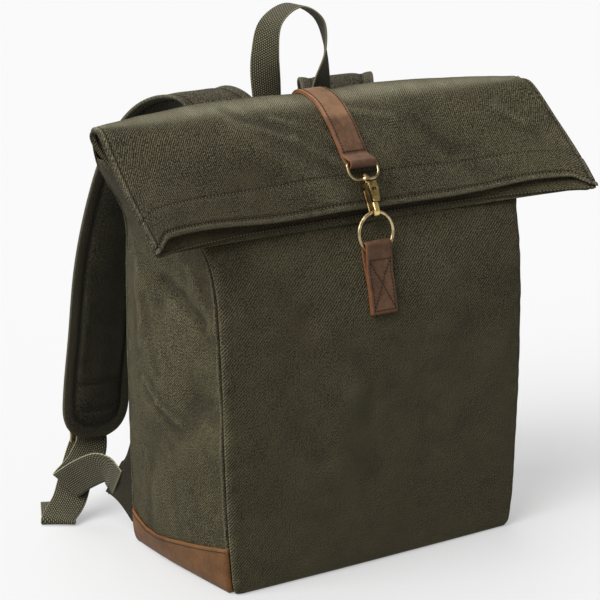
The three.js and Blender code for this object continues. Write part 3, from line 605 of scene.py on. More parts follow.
def soft_noise(u, v, size_u, size_v, seed):
    """Smooth seeded noise from -1 to 1 whose lumps measure size_u by size_v."""
    lattice = np.random.default_rng(seed).random((96, 96)) * 2 - 1
    a, b = u / size_u + 40.3, v / size_v + 40.7
    i, j = np.floor(a).astype(int), np.floor(b).astype(int)
    s, t = a - i, b - j
    s, t = s * s * (3 - 2 * s), t * t * (3 - 2 * t)
    i, j = i % 95, j % 95
    low = lattice[i, j] * (1 - s) + lattice[i + 1, j] * s
    high = lattice[i, j + 1] * (1 - s) + lattice[i + 1, j + 1] * s
    return low * (1 - t) + high * t


def to_segment(points, start, end):
    """How far points lie from a straight line between two places."""
    line = end - start
    share = np.clip(((points - start) @ line) / (line @ line), 0, 1)
    return np.linalg.norm(points - (start + share[..., None] * line), axis=-1)


def unit(vectors):
    return vectors / np.maximum(np.linalg.norm(vectors, axis=-1, keepdims=True), 1e-12)


print("folds:", len(FOLDS), "large,", len(CREASES), "small")

# %% A panel of cloth
TRIAL_ROWS = 500
STEP = 2.7 * MM
EDGE_STEPS = np.array([0.0, 0.4, 0.9, 1.5, 2.3, 3.2, 3.9, 4.5, 5.0, 5.5, 6.2]) * MM
HEM_DEPTH = 29 * MM
HEM_STITCH = 5 * MM
HEM_STEPS = np.array([-1.5, -0.9, -0.4, 0.0, 0.4, 0.9, 1.5]) * MM
HEM_CLEAR = HEM_STEPS[-1] + 0.6 * MM


def with_fine_ends(length):
    """Distances from 0 to length in even steps, with finer ones at both ends."""
    count = int(length / STEP)
    inner = np.linspace(EDGE_STEPS[-1], length - EDGE_STEPS[-1], count)
    return np.concatenate([EDGE_STEPS[:-1], inner, length - EDGE_STEPS[:-1][::-1]])


class ClothPanel:
    """A panel as a fine grid: rows run up the cloth and columns from seam to seam."""

    def __init__(self, name):
        self.name = name
        trial = np.linspace(0, LAST_ROW[name], TRIAL_ROWS)
        lines = [section_line(name, row, np.array([0.5])) for row in trial]
        middle = np.array([line[0][0] for line in lines])
        walked = walked_along(middle)
        self.height = walked[-1]
        self.up = with_fine_ends(self.height)
        if name in ("front", "back"):
            hem_line = self.height - HEM_DEPTH
            clear = self.up[np.abs(self.up - hem_line) > HEM_CLEAR]
            self.up = np.sort(np.concatenate([clear, hem_line + HEM_STEPS]))
        self.rows = np.interp(self.up, walked, trial)
        widest = max(line[1] for line in lines)
        self.shares = with_fine_ends(widest) / widest
        made = [section_line(name, row, self.shares) for row in self.rows]
        self.smooth = np.array([line for line, _ in made])
        self.width = np.array([width for _, width in made])
        self.normal = self.normals_of(self.smooth)
        self.lift = np.zeros(self.smooth.shape[:2])
        self.wear = np.zeros(self.smooth.shape[:2])
        self.dusk = np.zeros(self.smooth.shape[:2])
        self.u = (self.shares[None, :] - 0.5) * self.width[:, None]
        self.v = np.repeat(self.up[:, None], len(self.shares), axis=1)
        self.to_left = self.shares[None, :] * self.width[:, None]
        self.to_right = (1 - self.shares)[None, :] * self.width[:, None]
        self.to_side = np.minimum(self.to_left, self.to_right)
        self.to_end = self.height - self.v

    @staticmethod
    def normals_of(grid):
        return unit(np.cross(np.gradient(grid, axis=1), np.gradient(grid, axis=0)))

    def crease(self, start, end, width, depth, worn_and_sheen=0.0):
        a, b = self.at(*start, smooth=True), self.at(*end, smooth=True)
        ridge = np.exp(-((to_segment(self.smooth, a, b) / (width * MM)) ** 2))
        self.lift += depth * MM * ridge
        self.wear += worn_and_sheen * ridge

    def at(self, across, row, out=0.0, smooth=False):
        """A place on the panel, moved out by some metres. Takes numbers or arrays."""
        across, row = np.broadcast_arrays(np.asarray(across, float), np.asarray(row, float))
        i = np.interp(row, self.rows, np.arange(len(self.rows)))
        j = np.interp(across, self.shares, np.arange(len(self.shares)))
        i0 = np.clip(i.astype(int), 0, len(self.rows) - 2)
        j0 = np.clip(j.astype(int), 0, len(self.shares) - 2)
        s, t = (i - i0)[..., None], (j - j0)[..., None]
        grid = self.smooth if smooth else self.smooth + self.normal * self.lift[..., None]

        def blend(table):
            low = table[i0, j0] * (1 - t) + table[i0, j0 + 1] * t
            high = table[i0 + 1, j0] * (1 - t) + table[i0 + 1, j0 + 1] * t
            return low * (1 - s) + high * s

        out = np.asarray(out, float)[..., None]
        return blend(grid) + unit(blend(self.normal)) * out

    def row_at(self, up):
        return np.interp(up, self.up, self.rows)

    def area(self):
        between = (self.width[1:] + self.width[:-1]) / 2
        return float(np.sum(between * np.diff(self.up)))


panels = {name: ClothPanel(name) for name in ("front", "back", "left", "right")}
for panel in panels.values():
    print(panel.name, "panel:", panel.smooth.shape[:2], "places, height", round(panel.height, 3))

# %% The open mouth of the roll
LIP_PULL = 9.5 * MM
LIP_REACH = 60 * MM
LIP_RISE, LIP_FADE = 0.045, 0.28


def eased(share):
    share = np.clip(share, 0, 1)
    return share * share * (3 - 2 * share)


def draw_lip_up(panel):
    """Near both ends the roll's upper lip is drawn up the cloth, so the mouth stands open there."""
    from_end = np.minimum(panel.shares, 1 - panel.shares)
    near = eased(from_end / LIP_RISE) * (1 - eased((from_end - LIP_RISE) / LIP_FADE))
    ramp = eased(1 - (panel.height - panel.up) / LIP_REACH)
    for column, share in enumerate(near):
        walked = panel.up - LIP_PULL * share * ramp
        for axis in range(3):
            line = panel.smooth[:, column, axis]
            panel.smooth[:, column, axis] = np.interp(walked, panel.up, line)
    panel.normal = panel.normals_of(panel.smooth)


draw_lip_up(panels["back"])
print("upper lip drawn up by", round(LIP_PULL / MM, 1), "mm near its ends")

# %% Folds on the panels
CREASE_WEAR = 0.06
CALM_SIDE, CALM_FOOT = 14 * MM, 20 * MM
SLACK = {
    # lumps across and along in mm, and their height in mm
    "front": [(90, 120, 1.3), (34, 60, 0.5), (12, 16, 0.14)],
    "back": [(70, 60, 1.1), (26, 34, 0.55), (11, 14, 0.18)],
    "left": [(38, 110, 1.5), (16, 52, 0.7), (9, 16, 0.2)],
    "right": [(38, 110, 1.5), (16, 52, 0.7), (9, 16, 0.2)],
}
for name, start, end, width, depth in FOLDS:
    panels[name].crease(start, end, width, depth)
for name, start, end, width, depth in CREASES:
    panels[name].crease(start, end, width, depth, worn_and_sheen=CREASE_WEAR if depth > 0 else 0.0)
for name, layers in SLACK.items():
    panel = panels[name]
    calm = np.clip(panel.to_side / CALM_SIDE, 0.15, 1) * np.clip(panel.v / CALM_FOOT, 0.1, 1)
    for k, (size_u, size_v, height) in enumerate(layers):
        lumps = soft_noise(panel.u, panel.v, size_u * MM, size_v * MM, NOISE_SEED[name] + k)
        panel.lift += height * MM * lumps * calm
print("slack added to", len(SLACK), "panels")

# %% [markdown]
# ## Seams and hems
# At a seam the cloth turns in, so a fine groove, darkened with painted shade, shows beside a worn
# ridge, with small puckers where the thread pulls. A hem is a doubled edge: it stands a little
# proud, with a row of stitches sunk into it and painted shade in its dents. All of this depends
# only on the distance to an edge.

# %% Seam and hem relief
SEAM_FADE_ROW, ROLL_ROW, ROW_FADE = 12.2, 11.8, 0.8
CREST_ROW, CREST_SPREAD = 14.8, 0.8
RIM_SEAM = 4.5 * MM
FRONT_SHADE = 0.1


def bell(distance, middle, width):
    return np.exp(-(((distance - middle) / width) ** 2))


def sew_side(panel, to_edge, strength, seed):
    """A groove at a side seam darkened with painted shade, a ridge paled by abrasion beside it and
    puckers.
    """
    pucker = soft_noise(panel.v, np.zeros_like(panel.v), 7 * MM, 1.0, seed)
    groove = bell(to_edge, 0, 1.0 * MM) * strength
    panel.lift += 0.5 * MM * pucker * bell(to_edge, 7 * MM, 6 * MM)
    panel.lift += 0.3 * MM * bell(to_edge, 2.4 * MM, 1.6 * MM)
    panel.lift -= 1.5 * MM * groove
    panel.wear += 0.15 * bell(to_edge, 2.0 * MM, 1.3 * MM)
    # Painted shade in the seam groove.
    panel.dusk += 0.7 * groove


def hem(panel, seed):
    """The doubled edge at the mouth, with its two sunk rows of stitches darkened by painted shade."""
    to_edge = panel.to_end
    doubled = 0.5 - 0.5 * np.tanh((to_edge - HEM_DEPTH) / (1.2 * MM))
    pull = soft_noise(panel.u, np.zeros_like(panel.u), 5 * MM, 1.0, seed)
    panel.lift += 0.7 * MM * doubled
    panel.lift -= 0.7 * MM * bell(to_edge, HEM_DEPTH, 0.9 * MM)
    panel.lift -= 0.9 * MM * bell(to_edge, HEM_STITCH, 0.9 * MM)
    panel.lift += 1.2 * MM * bell(to_edge, 1.8 * MM, 1.9 * MM)
    panel.lift += 0.4 * MM * pull * bell(to_edge, 4 * MM, 5 * MM)
    panel.lift += 0.35 * MM * pull * bell(to_edge, HEM_DEPTH, 5 * MM)
    panel.wear += 0.5 * bell(to_edge, 0, 1.2 * MM)
    # Painted shade in the dents of both stitch rows.
    panel.dusk += 1.1 * (bell(to_edge, HEM_DEPTH, 1.1 * MM) + bell(to_edge, HEM_STITCH, 1.1 * MM))


def roll_sides(panel):
    """Along the roll both sides are sewn shut: they thin out, with a seam darkened by painted shade beside
    the abraded rim.
    """
    rolled = np.clip((panel.rows - ROLL_ROW) / ROW_FADE, 0, 1)[:, None]
    seam = bell(panel.to_side, RIM_SEAM, 0.9 * MM) * rolled
    panel.lift -= 0.6 * MM * (bell(panel.to_side, 0, 3 * MM) * rolled + seam)
    panel.wear += 0.2 * bell(panel.to_side, 0.4 * MM, 1.0 * MM) * rolled
    # Painted shade along the roll's seam line.
    panel.dusk += 0.7 * seam


def worn_ridges_shaded_hollows(panel):
    """Wax rubs off where the cloth bulges most, so ridges turn paler; hollows are darkened with painted
    shade.
    """
    blurred = panel.lift.copy()
    for _ in range(6):
        padded = np.pad(blurred, 1, mode="edge")
        beside = padded[1:-1, :-2] + padded[1:-1, 2:]
        blurred = (padded[:-2, 1:-1] + padded[2:, 1:-1] + beside) / 4
    proud = (panel.lift - blurred) / MM
    panel.wear += np.clip(proud * 0.9, 0, 0.2)
    # Painted shade in the hollows.
    panel.dusk += np.clip(-proud * 1.6, 0, 0.4)


for name, panel in panels.items():
    strength = np.clip((SEAM_FADE_ROW - panel.rows) / ROW_FADE, 0.35, 1)[:, None]
    sew_side(panel, panel.to_left, strength, NOISE_SEED[name] + 7)
    sew_side(panel, panel.to_right, strength, NOISE_SEED[name] + 8)
    panel.wear += 0.25 * bell(panel.v, 1 * MM, 3 * MM)
    if name in ("front", "back"):
        hem(panel, NOISE_SEED[name] + 9)
        roll_sides(panel)
panels["front"].dusk += FRONT_SHADE
# The roll's crest is made paler: fold wear, and a painted sheen where light grazes the top.
panels["back"].wear += 0.6 * bell(panels["back"].rows, CREST_ROW, CREST_SPREAD)[:, None]
for panel in panels.values():
    worn_ridges_shaded_hollows(panel)
    lift = panel.lift / MM
    print(panel.name, "lift", round(float(lift.min()), 2), "to", round(float(lift.max()), 2), "mm")

# %% [markdown]
# ## Walls from grids
# A panel is two grids, the outer and the inner face, joined by a rounded rim. One helper builds
# the closed wall with its UV map in metres, its wear and painted sheen and its painted shade, for
# cloth and for leather alike.

# %% Mesh helpers
def store(mesh, label, values):
    """Keeps one number for every point of a mesh."""
    column = mesh.attributes.new(label, "FLOAT", "POINT")
    column.data.foreach_set("value", np.asarray(values, np.float32).ravel())


def new_piece(name, vertices, faces, uvs, finish, **attributes):
    mesh = bpy.data.meshes.new(name)
    mesh.from_pydata(np.asarray(vertices).tolist(), [], faces)
    layer = mesh.uv_layers.new(name="cloth")
    corner = np.zeros(len(mesh.loops), np.int32)
    mesh.loops.foreach_get("vertex_index", corner)
    layer.data.foreach_set("uv", np.asarray(uvs, np.float32)[corner].ravel())
    for label, values in attributes.items():
        store(mesh, label, values)
    mesh.shade_smooth()
    mesh.materials.append(finish)
    mesh.update()
    return linked(name, mesh)


def rim_walk(rows, columns):
    """Grid places round the border, counter-clockwise as seen from outside."""
    bottom = [(0, j) for j in range(columns - 1)]
    right = [(i, columns - 1) for i in range(rows - 1)]
    top = [(rows - 1, j) for j in range(columns - 1, 0, -1)]
    left = [(i, 0) for i in range(rows - 1, 0, -1)]
    return bottom + right + top + left


def quads(at):
    """Faces between the neighbours in a grid of point numbers."""
    return np.stack([at[:-1, :-1], at[:-1, 1:], at[1:, 1:], at[1:, :-1]], axis=-1).reshape(-1, 4)


def wall(name, outer, inner, uv, finish, wear, dusk=None, lining=0.0):
    """A closed wall between two grids. The shade values are painted shade; lining is how much darker the
    outer grid's own cloth is than the inner.
    """
    rows, columns = outer.shape[:2]
    count = rows * columns
    at = np.arange(count).reshape(rows, columns)
    sheet = quads(at)
    border = rim_walk(rows, columns)
    edge = np.array([at[place] for place in border])
    inward = np.array([
        at[min(max(i, 1), rows - 2), min(max(j, 1), columns - 2)] for i, j in border
    ])
    flat_outer, flat_inner = outer.reshape(-1, 3), inner.reshape(-1, 3)
    away = unit(flat_outer[edge] - flat_outer[inward])
    thick = np.linalg.norm(flat_outer[edge] - flat_inner[edge], axis=1, keepdims=True)
    mid = (flat_outer[edge] + flat_inner[edge]) / 2 + away * thick * 0.25
    vertices = np.concatenate([flat_outer, flat_inner, mid])
    following = np.roll(np.arange(len(edge)), -1)
    ring = 2 * count + np.arange(len(edge))
    outer_rim = np.stack([edge[following], edge, ring, ring[following]], axis=-1)
    inner_rim = np.stack([ring[following], ring, edge + count, edge[following] + count], axis=-1)
    faces = np.concatenate([sheet, sheet[:, ::-1] + count, outer_rim, inner_rim])
    flat_uv, wear = uv.reshape(-1, 2), wear.ravel()
    dusk = np.zeros(count) if dusk is None else dusk.ravel()
    return new_piece(
        name, vertices, faces.tolist(), np.concatenate([flat_uv, flat_uv, flat_uv[edge]]), finish,
        edge=np.concatenate([np.zeros(2 * count), np.ones(len(edge))]),
        wear=np.clip(np.concatenate([wear, wear * 0.6, wear[edge]]), 0, 1.2),
        dusk=np.clip(np.concatenate([dusk + lining, dusk, dusk[edge] + lining]), 0, 1),
    )


def settle(piece, slot, *nodes, body="bag"):
    """The piece rides on its body and stands for its solids. The slot is not used."""
    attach(piece, body)
    if nodes:
        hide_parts(*nodes)
    return piece


print("a wall of 3 by 3 places has a rim of", len(rim_walk(3, 3)))

# %% Canvas panels
PANEL_PIECES = {
    "front": ("front_canvas", "front_panel", "folded"),
    "back": ("back_canvas", "back_panel", "folded"),
    "left": ("left_side_canvas", "left_gusset", "stretched"),
    "right": ("right_side_canvas", "right_gusset", "stretched"),
}
for name, (piece_name, node, held) in PANEL_PIECES.items():
    panel = panels[name]
    outer = panel.smooth + panel.normal * panel.lift[..., None]
    inner = outer - panel.normal * CLOTH_THICK
    uv = np.stack([panel.u, panel.v], axis=-1)
    piece = wall(piece_name, outer, inner, uv, CANVAS[name], panel.wear, panel.dusk)
    settle(piece, "canvas", node)
    flat = (round(float(panel.width.max()), 3), round(float(panel.height), 3))
    round(panel.area(), 4)
    print(piece_name, "flat", flat, "area", round(panel.area(), 4))

# %% [markdown]
# ## Softened solids
# Some solids already have the right shape and only look too sharp. A copy of the solid is
# merged, its flat triangles are dissolved into faces, and a small bevel catches the light.

# %% Softened copies
MERGE_WITHIN = 2e-6
FLAT_WITHIN, SHARP_FROM = math.radians(2), math.radians(28)


def applied(piece):
    """The piece's mesh with its modifiers carried out."""
    graph = bpy.context.evaluated_depsgraph_get()
    return bpy.data.meshes.new_from_object(piece.evaluated_get(graph))


def keep_applied(piece):
    made = applied(piece)
    piece.modifiers.clear()
    piece.data = made


def bevel(piece, width):
    """Rounds the sharp edges a little."""
    rounding = piece.modifiers.new("rounding", "BEVEL")
    rounding.width = width
    rounding.segments = 2
    rounding.limit_method = "ANGLE"
    rounding.angle_limit = SHARP_FROM


def softened(node, name, finish, width):
    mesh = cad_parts[node].data.copy()
    shape = bmesh.new()
    shape.from_mesh(mesh)
    bmesh.ops.remove_doubles(shape, verts=shape.verts, dist=MERGE_WITHIN)
    bmesh.ops.dissolve_limit(shape, angle_limit=FLAT_WITHIN, verts=shape.verts, edges=shape.edges)
    shape.to_mesh(mesh)
    shape.free()
    mesh.shade_smooth()
    piece = linked(name, mesh)
    bevel(piece, width)
    piece.modifiers.new("even", "WEIGHTED_NORMAL").keep_sharp = False
    keep_applied(piece)
    piece.data.materials.clear()
    piece.data.materials.append(finish)
    return piece


base = softened("base_panel", "base_canvas", CANVAS["front"], 0.4 * MM)
base_uv = base.data.uv_layers.new(name="cloth")
for loop in base.data.loops:
    base_uv.data[loop.index].uv = base.data.vertices[loop.vertex_index].co.xy
settle(base, "canvas", "base_panel")
for side in ("left", "right"):
    buckle = softened(f"{side}_strap_buckle", f"{side}_slider", BRASS, 0.5 * MM)
    settle(buckle, "brass", f"{side}_strap_buckle")
hook = settle(softened("snap_hook", "swivel_hook", DARK_BRASS, 0.35 * MM), "brass", "snap_hook")
gate = softened("hook_gate", "sprung_gate", LEVER_BRASS, 0.3 * MM)
settle(gate, "brass", "hook_gate", body="gate")
print("softened:", len(hook.data.polygons), "faces in the hook,", len(gate.data.polygons), "in its gate")

# %% [markdown]
# ## Bands
# Webbing and leather straps are flat bands bent along a line. A band is swept through stations
# that give its middle and the direction across it. Rounded sides keep the edge from looking cut
# out of paper.

# %% Sweep helper
BAND_STEP, BAND_COLUMNS = 1.5 * MM, 14
ROUND_SHARE = 0.3


def smooth_line(points, per_span):
    """A smooth curve through the points, with the same number of steps in every span."""
    points = np.asarray(points, float)
    padded = np.concatenate([[2 * points[0] - points[1]], points, [2 * points[-1] - points[-2]]])
    t = np.linspace(0, len(points) - 1, (len(points) - 1) * per_span + 1)
    k = np.minimum(t.astype(int), len(points) - 2)
    return spline(*(padded[k + n] for n in range(4)), (t - k)[:, None])


def read_off(marks, places, table):
    """Every column of a table whose rows lie at the places, read at the marks."""
    return np.stack([np.interp(marks, places, column) for column in table.T], axis=-1)


def even_line(points, directions, step):
    """The same line in even steps, with the directions across it carried along."""
    walked = walked_along(points)
    marks = np.linspace(0, walked[-1], max(int(walked[-1] / step), 4) + 1)
    return read_off(marks, walked, points), read_off(marks, walked, directions), marks


def band_frames(points, directions):
    """Unit directions over a band and through it."""
    along = unit(np.gradient(points, axis=0))
    over = unit(directions - along * np.sum(directions * along, axis=1, keepdims=True))
    return over, np.cross(along, over)


def level(line):
    """The direction across for a band that never tilts sideways."""
    return np.tile([1.0, 0, 0], (len(line), 1))


def band(name, points, directions, width, thick, finish, worn_and_sheen=None):
    """A flat band with rounded sides. The last argument gives a paleness at each place of its middle line;
    the closure strap passes its painted top sheen there.
    """
    points, directions, marks = even_line(points, directions, BAND_STEP)
    over, through = band_frames(points, directions)
    half, depth = width / 2, thick / 2
    round_off = thick * ROUND_SHARE
    upper = np.linspace(-half + round_off, half - round_off, BAND_COLUMNS)
    profile = [(a, depth, 0.0) for a in upper[::-1]]
    profile += [(-half, depth - round_off, 1.0), (-half, round_off - depth, 1.0)]
    profile += [(a, -depth, 0.0) for a in upper]
    profile += [(half, round_off - depth, 1.0), (half, depth - round_off, 1.0)]
    profile = np.array(profile[::-1])
    sides = len(profile)
    across, out, rim = (profile[None, :, k] for k in range(3))
    rings = points[:, None] + over[:, None] * across[..., None] + through[:, None] * out[..., None]
    uv = np.stack(np.broadcast_arrays(across + half, marks[:, None]), axis=-1)
    at = np.arange(len(points) * sides).reshape(len(points), sides)
    faces = quads(np.pad(at, ((0, 0), (0, 1)), mode="wrap")).tolist()
    faces += [at[0][::-1].tolist(), at[-1].tolist()]
    edge = np.broadcast_to(rim, at.shape).copy()
    edge[[0, -1]] = 1.0
    wear = np.zeros(len(points)) if worn_and_sheen is None else worn_and_sheen(points)
    wear = np.repeat(wear[:, None], sides, axis=1)
    return new_piece(name, rings.reshape(-1, 3), faces, uv.reshape(-1, 2), finish, edge=edge, wear=wear)


print("bands: one place every", round(BAND_STEP / MM, 1), "mm")

# %% [markdown]
# ## Haul handle and lower webbing
# The handle's feet lie flat on the back and its arch is seen edge-on, so each leg turns a quarter.
# The lower webbing leaves the corner tab, folds over a corner, runs up to the slider and hangs
# down behind itself to the floor. Both follow the same points as the solids.

# %% Haul handle
HANDLE_RISE = [
    # x, y, z in mm and the turn in degrees
    (25.5, 43.5, 352, 4),
    (28, 44.5, 382, 18),
    (30.5, 42.5, 414, 55),
    (24, 43.5, 440.5, 75),
    (0, 45, 453, 90),
]
HANDLE_FOOT_X, HANDLE_FOOT_ROWS = 25, (9.4, 9.9)
HANDLE_FOOT_OUT = 2.9 * MM
HANDLE_WIDTH = 25 * MM
WEBBING_THICK = 1.8 * MM


def handle_route():
    """The line of the handle from its left foot to its right, and the directions across it."""
    places, turns = [], []
    for row in HANDLE_FOOT_ROWS:
        share = 0.5 - HANDLE_FOOT_X / (2 * section_at(row)["seam_x"])
        spot = panels["back"].at(share, row, HANDLE_FOOT_OUT, smooth=True)
        places.append((-HANDLE_FOOT_X * MM, spot[1], spot[2]))
        turns.append(0)
    for x, y, z, turn in HANDLE_RISE:
        places.append((-x * MM, y * MM, z * MM))
        turns.append(math.radians(turn))
    across = [(math.cos(turn), -math.sin(turn), 0) for turn in turns]
    both_legs = []
    for leg in (places, across):
        mirrored = [(-x, y, z) for x, y, z in leg[:-1]][::-1]
        both_legs.append(smooth_line(leg + mirrored, 16))
    return both_legs


handle_line, handle_across = handle_route()
handle = band("handle_webbing", handle_line, handle_across, HANDLE_WIDTH, WEBBING_THICK, WEBBING)
settle(handle, "webbing", "haul_handle")
handle_length = float(walked_along(handle_line)[-1])
print("handle length", round(handle_length, 3))

# %% Corner tabs
SIDES = {"left": 1.0, "right": -1.0}
TAB_SEAM = np.array([(-144, 79.8, 16), (-144, 79.8, 88)]) * MM
TAB_APEX = np.array([(-150.5, 113, 35), (-146.4, 92, 67)]) * MM
TAB_HALF = 1.4 * MM
TAB_FOLD = 0.85


def corner_tab(side):
    """A folded triangle of canvas from the side seam to the end of the webbing, with slack edges."""
    out, up = np.meshgrid(np.linspace(0, 1, 24), np.linspace(0, 1, 40))
    seam = TAB_SEAM[0] + (TAB_SEAM[1] - TAB_SEAM[0]) * up[..., None]
    apex = TAB_APEX[0] + (TAB_APEX[1] - TAB_APEX[0]) * up[..., None]
    middle = seam + (apex - seam) * out[..., None]
    slack = np.sin(math.pi * out)
    middle[..., 2] += 4 * MM * slack * (1 - 2 * up)
    middle[..., 0] += 1.5 * MM * slack * np.sin(2 * math.pi * up)
    middle[..., 0] *= SIDES[side]
    outward = np.array([-TAB_HALF * SIDES[side], 0, 0])
    outer, inner = middle + outward, middle - outward
    if side == "left":
        outer, inner, out = outer[:, ::-1], inner[:, ::-1], out[:, ::-1]
    wear = 0.35 * bell(out, 1, 0.04) + 0.3 * bell(up, 1, 0.03)
    # The whole tab is darkened with painted shade, for the shade it lies in under the bag.
    dusk = np.ones(out.shape)
    tab = wall(f"{side}_corner_tab", outer, inner, outer[..., 1:], STRAP_CANVAS, wear, dusk)
    fold = outer[:, int(np.argmin(np.abs(out[0] - TAB_FOLD)))]
    return tab, (fold + unit(outward) * 0.1 * MM, np.tile(unit(outward), (len(fold), 1)))


tab_stitches = []
for side in SIDES:
    tab, stitches = corner_tab(side)
    settle(tab, "canvas", f"{side}_strap_tab")
    tab_stitches.append(stitches)
print("corner tabs:", len(tab.data.polygons), "faces each")

# %% Lower webbing
WEBBING_WIDTH = 30 * MM
WEBBING_ROUTE = [
    # place in mm and the direction across
    (-149.3, 96.7, 47.1, 0, -0.55, 0.84),
    (-150.3, 104.3, 51.9, 0, -0.55, 0.84),
    (-151, 109.5, 55.2, -0.05, -0.55, 0.84),
    (-154.2, 119.5, 55.5, -0.2, -0.35, 0.9),
    (-160.6, 137, 45.5, -0.4, 0.1, 0.9),
    (-166.2, 148.5, 36.5, -0.55, 0.33, 0.77),
    (-168.2, 153.8, 32.2, -0.57, 0.4, 0.72),
    (-165.4, 156.6, 33.2, -0.62, 0.43, 0.65),
    (-154.2, 158, 40.8, -0.74, 0.51, 0.4),
    (-142.9, 163.5, 48, -0.86, 0.45, 0.15),
    (-134, 169, 57, -0.99, 0.06, 0.05),
    (-130.5, 173.6, 67, -1, 0, 0),
    (-130.5, 174.1, 74, -1, 0, 0),
    (-130.5, 177.2, 78, -1, 0, 0),
    (-130.5, 180.3, 74, -1, 0, 0),
    (-130.8, 180.4, 66, -1, 0, 0),
    (-132, 180.2, 59, -1, 0.05, 0),
    (-141.5, 173.5, 47, -0.9, 0.38, 0),
    (-153.5, 163.5, 33, -0.85, 0.5, 0.05),
    (-165, 154.5, 18, -0.8, 0.58, 0.05),
    (-176, 149.5, 9, -0.79, 0.62, 0),
    (-181.6, 145.6, 5.2, -0.79, 0.62, 0),
    (-182.4, 144.6, 2.6, -0.79, 0.62, 0),
    (-179.6, 148.2, 1.4, -0.81, 0.58, 0),
    (-172.4, 162, 1.4, -0.87, 0.48, 0),
    (-155.4, 195, 1.4, -0.89, 0.45, 0),
]


def mirrored_route(route, side):
    """The left route, or its mirror image with the direction across kept on the same hand."""
    table = np.array(route, float)
    flip = np.array([SIDES[side], 1, 1])
    return table[:, :3] * flip * MM, table[:, 3:6] * flip * SIDES[side]


for side in SIDES:
    places, across = mirrored_route(WEBBING_ROUTE, side)
    line = smooth_line(places, 10)
    turns = read_off(np.linspace(0, len(across) - 1, len(line)), np.arange(len(across)), across)
    lower = band(f"{side}_lower_webbing", line, turns, WEBBING_WIDTH, WEBBING_THICK, WEBBING)
    settle(lower, "webbing", f"{side}_strap_webbing")

# %% Buckle keepers
BUCKLE_X, KEEPER_EYE = 130.5, np.array([177.2, 84.5])
KEEPER_MIDDLE, KEEPER_THICK = 3.2, 1.75 * MM
KEEPER_LEG = np.array([(-1.2, 52), (-0.3, 30), (0, 12)])
KEEPER_LAYER = 1.85

keeper_turns = np.linspace(-math.pi, 0, 13)
bend = KEEPER_EYE + KEEPER_MIDDLE * np.stack([np.cos(keeper_turns), np.sin(keeper_turns)], axis=-1)
inside = KEEPER_EYE + KEEPER_LEG - [KEEPER_MIDDLE, 0]
outside = inside[::-1] + [KEEPER_LAYER, 0]
keeper_side = np.concatenate([inside, bend, outside])
keeper_lines = []
for side in SIDES:
    line = smooth_line(np.insert(keeper_side, 0, -BUCKLE_X * SIDES[side], axis=1) * MM, 6)
    keeper = band(f"{side}_keeper", line, level(line), WEBBING_WIDTH, KEEPER_THICK, WEBBING)
    settle(keeper, "webbing", f"{side}_buckle_keeper")
    keeper_lines.append(line)
    keeper_length = float(walked_along(line)[-1])
    flat = (WEBBING_WIDTH, round(keeper_length, 3))
print("keeper length", round(keeper_length, 3))

# %% [markdown]
# ## Leather pieces
# The closure strap is one strip of leather: up over the roll, round the clasp's loop and back over
# itself, so two raw edges show along each side. The ring's tab is folded the same way, and each
# side of the foot has a leather trim that rises towards the front seam.

# %% Closure strap
CLOSURE_ROWS = (11.5, 17.5)
CLOSURE_PLACES = 60
CLOSURE_GAP = 0.5 * MM
CLOSURE_LAYER, CLOSURE_THICK = 1.6 * MM, 1.54 * MM
CLOSURE_WIDTH = 26 * MM
EYE_MIDDLE = 3.4 * MM
EYE_OUTER, EYE_LIFT, EYE_DROP = 4.2 * MM, 3 * MM, 9 * MM
TOUCH_GAP = 0.4 * MM
PALE_FROM, PALE_OVER = 0.358, 0.012


def closure_route():
    """The strip seen from the side, over the roll, round the eye and back, with the eye's middle."""
    back = panels["back"]
    rows = np.linspace(*CLOSURE_ROWS, CLOSURE_PLACES)
    lower = back.at(0.5, rows, CLOSURE_GAP + CLOSURE_LAYER / 2)[:, 1:]
    upper = back.at(0.5, rows, CLOSURE_GAP + CLOSURE_LAYER * 1.5)[::-1, 1:]
    end = back.at(0.5, CLOSURE_ROWS[1], TOUCH_GAP, smooth=True)[1:]
    before = back.at(0.5, CLOSURE_ROWS[1] - 0.2, TOUCH_GAP, smooth=True)[1:]
    down = unit(end - before)
    out = np.array([down[1], -down[0]])
    eye = end + out * (EYE_OUTER + EYE_LIFT) + down * EYE_DROP
    turns = np.linspace(0, 1.2 * math.pi, 16)[:, None]
    bend = eye - out * EYE_MIDDLE * np.cos(turns) + down * EYE_MIDDLE * np.sin(turns)
    route = np.concatenate([lower, bend, upper])
    return smooth_line(np.insert(route, 0, 0, axis=1), 2), eye


def painted_top_sheen(points):
    """The strap's top, where it bends over the roll, gets a painted sheen that makes it paler."""
    return 0.4 * np.clip((points[:, 2] - PALE_FROM) / PALE_OVER, 0, 1)


closure_line, clasp_eye = closure_route()
closure_across = level(closure_line)
# The strap's top gets a painted sheen.
closure = band(
    "closure_leather", closure_line, closure_across, CLOSURE_WIDTH, CLOSURE_THICK, LEATHER, worn_and_sheen=painted_top_sheen,
)
settle(closure, "leather", "closure_strap")
closure_length = float(walked_along(closure_line)[-1])
print("closure strip length", round(closure_length, 3), "eye", np.round(clasp_eye, 4))

